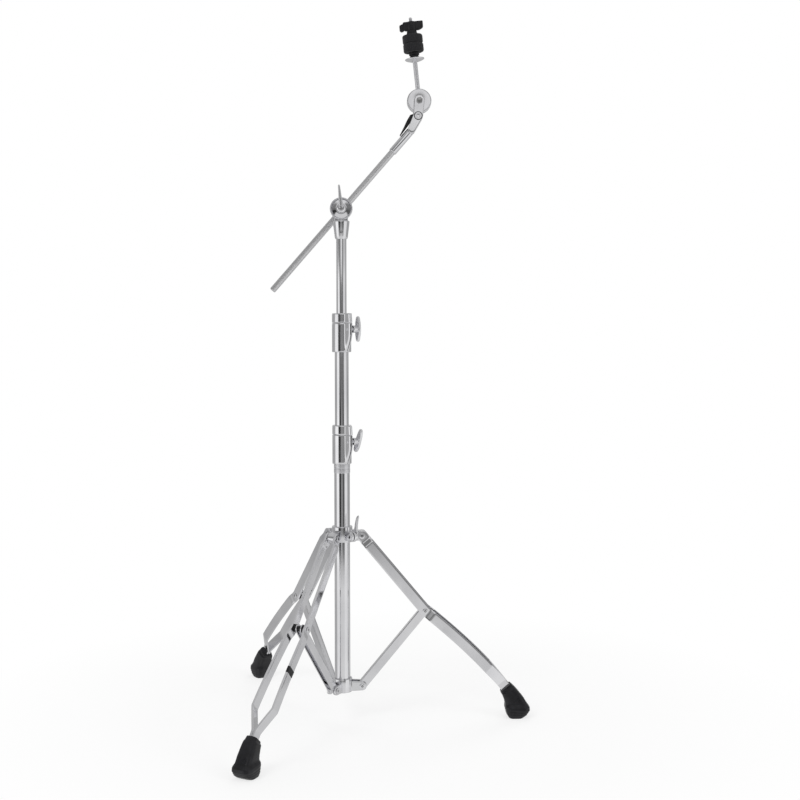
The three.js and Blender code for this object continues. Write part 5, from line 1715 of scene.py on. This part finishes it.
@dataclass
class CymbalSeat:
    """The tilting wheel and what stands on it; Z runs up the cymbal rod from the wheel's centre.

    Attributes:
        lean: Angle from the boom to the cymbal rod.
        wheel_radius: Radius of the wheel.
        wheel_half: Half thickness of the wheel.
        rod_radius: Radius of the rod below its thread.
        felt_radius: Radius of the felts.
        felt_height: Height of one felt.
        lower_felt: Height of the lower felt's lower face.
        upper_felt: Height of the upper felt's lower face.
        nut: Height of the wing nut's lower face.
    """

    lean: float = 47.05
    wheel_radius: float = 22.6
    wheel_half: float = 8.0
    rod_radius: float = 4.1
    felt_radius: float = 19.0
    felt_height: float = 15.6
    lower_felt: float = 91.0
    upper_felt: float = 106.9
    nut: float = 122.8

    def wheel(self) -> list[Shell]:
        """The wheel: a finely toothed rim between two recessed faces.

        The rim's radius at turn a is R - d (1 - |cos(n a / 2)|), n teeth of depth d.

        Returns:
            Its surfaces.
        """
        r, half = self.wheel_radius, self.wheel_half
        body = turned([(3.9, -half), (r - 3.2, -half), (r - 1.6, -half), (r - 0.8, -half + 1.2),
                       (r - 0.8, half - 1.2), (r - 1.6, half), (r - 3.2, half), (3.9, half)],
                      [0.2, 0.2, 0.8, 0.6, 0.6, 0.8, 0.2, 0.2], 96, ring=True)
        turn = np.linspace(0, 2 * np.pi, 432, endpoint=False)
        teeth_count, tooth = 72, 0.55
        rim = r - tooth * (1 - np.abs(np.cos(teeth_count / 2 * turn)))
        level = np.array([-half + 0.9, -half + 1.5, half - 1.5, half - 0.9])
        reach = np.stack([rim * 0 + r - 1.4, rim, rim, rim * 0 + r - 1.4])
        inner = np.stack([rim * 0 + 12.0] * 2)
        radius = np.concatenate([reach, inner])
        heights = np.concatenate([level, level[[3, 0]]])
        teeth = Shell(np.stack([radius * np.cos(turn), radius * np.sin(turn),
                                np.repeat(heights[:, None], len(turn), 1)], -1), ring=True)
        return [body.placed(ALONG_Y), teeth.placed(ALONG_Y)]

    def rod(self) -> list[Shell]:
        """The rod and its threaded tip.

        Returns:
            Its surfaces.
        """
        r = self.rod_radius
        shank = turned([(0, 12), (r, 12), (r, 121.6), (r - 0.8, 122.6), (0, 122.6)], 0.3, 48)
        thread = threaded(3.0, 0.42, 1.25, 122.0, 154.2, 40)
        tip = turned([(0, 152.5), (2.55, 152.5), (2.55, 153.8), (1.7, 155.2), (0, 155.2)], 0.4, 32)
        return [shank, thread, tip]

    def washer(self) -> Shell:
        """The cupped steel washer, with a rolled rim."""
        profile = [(4.4, 73.5), (8, 73.5), (14.5, 75.5), (17.6, 77.2), (18, 78.2), (17.6, 79.0), (16.8, 78.8),
                   (14, 77.1), (8, 75.1), (4.4, 75.1)]
        return turned(profile, [0.1, 2, 3, 0.6, 0.4, 0.4, 0.4, 3, 2, 0.1], 96, ring=True)

    def sleeve(self) -> Shell:
        """The flanged plastic sleeve that the cymbal sits on."""
        profile = [(4.4, 75.4), (7.5, 75.4), (9.5, 78.4), (9.5, 81.5), (7.9, 82.3), (7.9, 84.8), (9.5, 85.6),
                   (9.5, 90.7), (6.2, 90.7), (6.2, 122.0), (4.4, 122.0)]
        return turned(profile, 0.4, 64, ring=True)

    def felt(self, bottom: float, seed: int) -> Shell:
        """A felt washer, slightly uneven.

        The profile is a ring with round shoulders; each outer point is then moved out by 0.3 times
        the mean of five waves round and along it whose turns come from the seed.

        Args:
            bottom: Height of its lower face.
            seed: Chooses the waves.

        Returns:
            The surface.
        """
        r, top = self.felt_radius - 0.3, bottom + self.felt_height
        profile = [(6.5, bottom), (r - 1.2, bottom), (r, bottom + 2.2), (r, top - 2.2), (r - 1.2, top), (6.5, top)]
        shell = turned(profile, [0.2, 1.6, 2.2, 2.2, 1.6, 0.2], 160, ring=True, steps=7)
        draw = np.random.default_rng(seed)
        rows = shell.rows
        turn, level = np.arctan2(rows[..., 1], rows[..., 0]), rows[..., 2]
        swell = sum(np.sin(k * turn + level * draw.uniform(-0.8, 0.8) + draw.uniform(0, 6.3)) / 5
                    for k in (3, 5, 8, 13, 21))
        out = np.hypot(rows[..., 0], rows[..., 1])
        unevenness, bore_side = 0.3, 10
        scale = np.where(out > bore_side, 1 + unevenness * swell / out, 1.0)
        return Shell(np.stack([rows[..., 0] * scale, rows[..., 1] * scale, level], -1), True)

    def wing_nut(self) -> list[Shell]:
        """The moulded nut: a neck, a hub, a long square wing and a lower, thinner one across from it.

        Returns:
            Its surfaces.
        """
        low, neck = self.nut, self.nut + 8.5
        top = neck + 16.0
        collar = turned([(4.7, low), (9.4, low), (10, low + 0.8), (9.6, low + 4), (8.6, neck), (4.7, neck)],
                        0.5, 64, ring=True)
        hub = turned([(3.4, neck - 0.4), (9.0, neck - 0.4), (9.0, top - 1.4), (7.4, top), (5.0, top), (3.4, top - 1.0)],
                     0.9, 64, ring=True)
        near = eased([(-15.5, neck + 2), (-11, neck - 0.2), (14, neck - 0.2), (21.6, neck + 3.4), (21.9, top - 1),
                      (20.6, top), (-13.5, top), (-15.5, top - 1.6)], [1.2, 2, 2, 2, 1.2, 1.2, 1.2, 1.2])
        far = eased([(-22, neck + 1), (-19, neck - 1.6), (-14.4, neck - 0.6), (-14.4, top - 3), (-18, top - 3.6),
                     (-21.8, top - 5.4)], 1.2)
        return [collar, hub, slab(near, -4.5, 4.5, 1.5, 0.2), slab(far, -3.6, 3.6, 1.3, 0.2)]

    def build(self, bench: Bench, base: Array) -> None:
        """Set down the wheel, the rod, the washer, the sleeve, the felts and the nut.

        Args:
            bench: Where the pieces are made.
            base: Placement of the wheel's centre, X along the boom.
        """
        place, finishes = base @ rotation("Y", 90 - self.lean), bench.finishes
        bench.stand_in((
            ("tilter_wheel", self.wheel(), place, finishes.chrome, "cymbal_seat"),
            ("cymbal_rod", self.rod(), place, finishes.brushed, "cymbal_seat"),
            ("cymbal_cup_washer", [self.washer()], place, finishes.cast, "cymbal_seat"),
            ("cymbal_sleeve", [self.sleeve()], place, finishes.nylon, "cymbal_seat"),
            ("cymbal_lower_felt", [self.felt(self.lower_felt, 3)], place, finishes.felt, "cymbal_seat"),
            ("cymbal_upper_felt", [self.felt(self.upper_felt, 8)], place, finishes.felt, "cymbal_top"),
            ("cymbal_wing_nut", self.wing_nut(), place, finishes.nylon, "cymbal_wing_nut"),
        ))


# ---------------------------------------------------------------- the studio


@dataclass
class Studio:
    """A white studio: a floor, soft lamps, a backdrop all round and the camera.

    Attributes:
        floor_radius: Radius of the floor in metres.
        fade: Distances from the middle at which the floor starts and ends its fade to white.
        level: Strength of the light from all round.
        camera_place: Place of the camera from the foot of the tubes' axis, in metres.
        shadow_left: Share of the shadow that shows in the middle of the floor.
        camera_turn: Yaw to the right, pitch down and roll of the camera, in degrees.
        lens: Focal length in millimetres.
        shift: Shift of the lens to the right and up, as shares of the sensor's width.
    """

    floor_radius: float = 1.6
    fade: tuple[float, float] = (0.42, 0.85)
    level: float = 0.62
    camera_place: tuple[float, float, float] = (0.0124, -2.2225, 0.7359)
    shadow_left: float = 0.28
    camera_turn: tuple[float, float, float] = (0.55, 1.09, 0.16)
    lens: float = 54.5
    shift: tuple[float, float] = (0.05, -0.07)

    @staticmethod
    def wired(tree: bpy.types.NodeTree, kind: str, inputs: dict[int | str, object],
              **settings: object) -> bpy.types.Node:
        """Add a node and set or join its inputs.

        Args:
            tree: The node tree.
            kind: The node's type without the ShaderNode prefix.
            inputs: By name or number, a value for the input or the socket that feeds it.
            **settings: Properties by name.

        Returns:
            The node.
        """
        made = tree.nodes.new("ShaderNode" + kind)
        for name, value in settings.items():
            setattr(made, name, value)
        for name, value in inputs.items():
            if isinstance(value, bpy.types.NodeSocket):
                tree.links.new(value, made.inputs[name])
            else:
                made.inputs[name].default_value = value
        return made

    def ramp(self, tree: bpy.types.NodeTree, turn: bpy.types.NodeSocket,
             stops: Sequence[tuple[float, float]]) -> bpy.types.NodeSocket:
        """A ramp of greys round the stand.

        Args:
            tree: The node tree.
            turn: The socket of turns, 0 to 1 for -180 to 180 degrees to the right of the front.
            stops: Turns in degrees with their greys.

        Returns:
            The socket of the greys.
        """
        made = self.wired(tree, "ValToRGB", {"Fac": turn})
        elements = made.color_ramp.elements
        for k, (degrees, grey) in enumerate(stops):
            place = (degrees + 180) / 360
            element = elements[k] if k < 2 else elements.new(place)
            element.position, element.color = place, (grey, grey, grey, 1)
        return made.outputs["Color"]

    def seen_plainly(self, tree: bpy.types.NodeTree, kinds: Sequence[str]) -> bpy.types.NodeSocket:
        """1 for rays of the named kinds and 0 for the rest.

        Args:
            tree: The node tree.
            kinds: Outputs of the Light Path node.

        Returns:
            The socket of the value.
        """
        path = tree.nodes.new("ShaderNodeLightPath")
        total = path.outputs[kinds[0]]
        for kind in kinds[1:]:
            total = self.wired(tree, "Math", {0: total, 1: path.outputs[kind]}, operation="MAXIMUM").outputs[0]
        return total

    def world(self) -> None:
        """Light the stand evenly and give its plating a white room with dark flags to show.

        The grey of a direction comes from its turn round the stand, on five ramps from below eye
        level to overhead that are blended by its height.
        """
        world = bpy.data.worlds.new("studio")
        bpy.context.scene.world = world
        world.use_nodes = True
        tree = world.node_tree
        tree.nodes.clear()
        place = tree.nodes.new("ShaderNodeTexCoord").outputs["Generated"]
        parts = self.wired(tree, "SeparateXYZ", {0: place})
        back = self.wired(tree, "Math", {0: parts.outputs["Y"], 1: -1.0}, operation="MULTIPLY")
        turn = self.wired(tree, "Math", {0: parts.outputs["X"], 1: back.outputs[0]}, operation="ARCTAN2")
        even = self.wired(tree, "MapRange", {"From Min": -math.pi, "From Max": math.pi, "Value": turn.outputs[0]})
        level, low, high, upper, zenith = (self.ramp(tree, even.outputs["Result"], stops) for stops in (
            [(-180, 0.42), (-92, 0.40), (-80, 1.0), (-46, 1.0), (-38, 0.02), (-17, 0.03), (-12, 0.27), (10, 0.27),
             (15, 0.09), (34, 0.10), (41, 0.85), (80, 0.85), (92, 0.38), (180, 0.42)],
            [(-180, 0.50), (-92, 0.45), (-80, 0.85), (-46, 0.85), (-36, 0.68), (30, 0.72), (42, 0.85), (80, 0.80),
             (92, 0.66), (180, 0.45)],
            [(-180, 0.75), (-120, 0.45), (-92, 0.36), (-80, 1.0), (-43, 1.0), (-38, 0.17), (34, 0.18), (40, 0.78),
             (81, 0.78), (92, 0.36), (180, 0.75)],
            [(-180, 0.55), (-92, 0.40), (-80, 0.30), (-24, 0.20), (-14, 0.78), (14, 0.82), (22, 0.20), (38, 0.22),
             (48, 0.60), (82, 0.60), (92, 0.36), (180, 0.55)],
            [(-180, 0.55), (180, 0.55)]))
        picked = level
        for other, start, end in ((low, -0.165, -0.215), (high, -0.005, 0.035), (upper, 0.11, 0.15),
                                  (zenith, 0.55, 0.85)):
            share = self.wired(tree, "MapRange", {"From Min": start, "From Max": end, "Value": parts.outputs["Z"]})
            mix = self.wired(tree, "Mix", {"Factor": share.outputs["Result"], "A": picked, "B": other},
                             data_type="RGBA")
            picked = mix.outputs["Result"]
        shown = [self.wired(tree, "Background", {"Color": colour, "Strength": strength}).outputs[0]
                 for colour, strength in (((1, 1, 1, 1), self.level), (picked, 1.0), ((1, 1, 1, 1), 1.0))]
        glossy = self.wired(tree, "MixShader", {0: self.seen_plainly(tree, ("Is Glossy Ray",)),
                                                1: shown[0], 2: shown[1]})
        plain = self.wired(tree, "MixShader", {0: self.seen_plainly(tree, ("Is Camera Ray", "Is Transmission Ray")),
                                               1: glossy.outputs[0], 2: shown[2]})
        self.wired(tree, "OutputWorld", {"Surface": plain.outputs[0]})

    def floor(self) -> None:
        """A round pale floor that keeps the stand's shadow near it and fades to white.

        Plating sees through it to the room all round.
        """
        turn = np.linspace(0, 2 * np.pi, 96, endpoint=False)
        ring = np.stack([np.cos(turn), np.sin(turn), turn * 0], -1) * self.floor_radius
        mesh = bpy.data.meshes.new("floor")
        mesh.from_pydata([(x, y, -0.0002) for x, y, _ in ring.tolist()], [], [list(range(96))])
        floor = bpy.data.objects.new("floor", mesh)
        bpy.context.scene.collection.objects.link(floor)
        recipe = Recipe("pale_floor")
        recipe.fixed(Metallic=0.0, Roughness=0.9, Specular_IOR_Level=0.1, Base_Color=(0.93, 0.93, 0.93, 1))
        distance = recipe.node("VectorMath", operation="LENGTH")
        recipe.join(recipe.place(), distance.inputs[0])
        far = recipe.spread(distance.outputs["Value"], 1.0 - self.shadow_left, 1.0, *self.fade)
        glow = recipe.node("Emission")
        glow.inputs["Strength"].default_value = 1.0
        seen = recipe.node("Math", operation="MULTIPLY")
        recipe.join(far, seen.inputs[0])
        recipe.join(self.seen_plainly(recipe.tree, ("Is Camera Ray", "Is Transmission Ray")), seen.inputs[1])
        mix = recipe.node("MixShader")
        recipe.join(seen.outputs[0], mix.inputs[0])
        recipe.join(recipe.shader.outputs[0], mix.inputs[1])
        recipe.join(glow.outputs[0], mix.inputs[2])
        clear = recipe.node("MixShader")
        recipe.join(self.seen_plainly(recipe.tree, ("Is Glossy Ray",)), clear.inputs[0])
        recipe.join(mix.outputs[0], clear.inputs[1])
        recipe.join(recipe.node("BsdfTransparent").outputs[0], clear.inputs[2])
        recipe.join(clear.outputs[0], recipe.tree.nodes["Material Output"].inputs["Surface"])
        floor.data.materials.append(recipe.material)

    def lamps(self) -> None:
        """Three soft lamps: a key above the left, a fill on the right and one behind."""
        for name, place, size, power in (("key", (-1.8, -1.9, 2.6), 1.5, 34.0), ("fill", (2.2, -1.5, 1.8), 1.4, 16.0),
                                         ("rim", (0.6, 2.2, 2.6), 1.6, 18.0)):
            data = bpy.data.lights.new(name, "AREA")
            data.shape, data.size, data.energy = "DISK", size, power
            lamp = bpy.data.objects.new(name, data)
            bpy.context.scene.collection.objects.link(lamp)
            lamp.location = place
            lamp.visible_glossy = False
            aim = np.array([0.0, 0.0, 0.6]) - np.array(place)
            flat = math.hypot(aim[0], aim[1])
            lamp.rotation_euler = (math.pi / 2 - math.atan2(-aim[2], flat), 0.0, math.atan2(-aim[0], aim[1]))

    def camera(self, home: Array) -> None:
        """The camera, set level with the stand's upper half and turned slightly down.

        Args:
            home: Foot of the tubes' axis, in metres.
        """
        data = bpy.data.cameras.new("camera")
        data.lens, data.sensor_width = self.lens, 36.0
        data.shift_x, data.shift_y = self.shift
        data.clip_start, data.clip_end = 0.05, 50.0
        camera = bpy.data.objects.new("camera", data)
        bpy.context.scene.collection.objects.link(camera)
        yaw, pitch, roll = self.camera_turn
        camera.location = home + np.array(self.camera_place)
        turn = rotation("Z", -yaw) @ rotation("X", 90 - pitch) @ rotation("Z", -roll)
        camera.rotation_mode = "QUATERNION"
        camera.rotation_quaternion = Matrix(turn[:3, :3].tolist()).to_quaternion()
        bpy.context.scene.camera = camera

    def build(self, home: Array) -> None:
        """Set up the world, the floor, the lamps and the camera.

        Args:
            home: Foot of the tubes' axis, in metres.
        """
        bpy.context.scene.view_settings.view_transform = "Standard"
        self.world()
        self.floor()
        self.lamps()
        self.camera(home)


def main() -> None:
    """Build the studio and every sub-assembly in order, and note the sizes."""
    logging.basicConfig(level=logging.INFO, format="%(name)s: %(message)s")
    low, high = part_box("base_tube")
    tube_foot = 57.0
    origin = np.array([(low.x + high.x) / 2 / MM, (low.y + high.y) / 2 / MM, low.z / MM - tube_foot])
    Studio().build(origin * MM)
    bench = Bench(origin, Finishes())
    for assembly in (Telescope(), FoldingBase(), BoomTilter(), Boom()):
        LOG.info("building %s", type(assembly).__name__)
        assembly.build(bench)


if __name__ == "__main__":
    main()
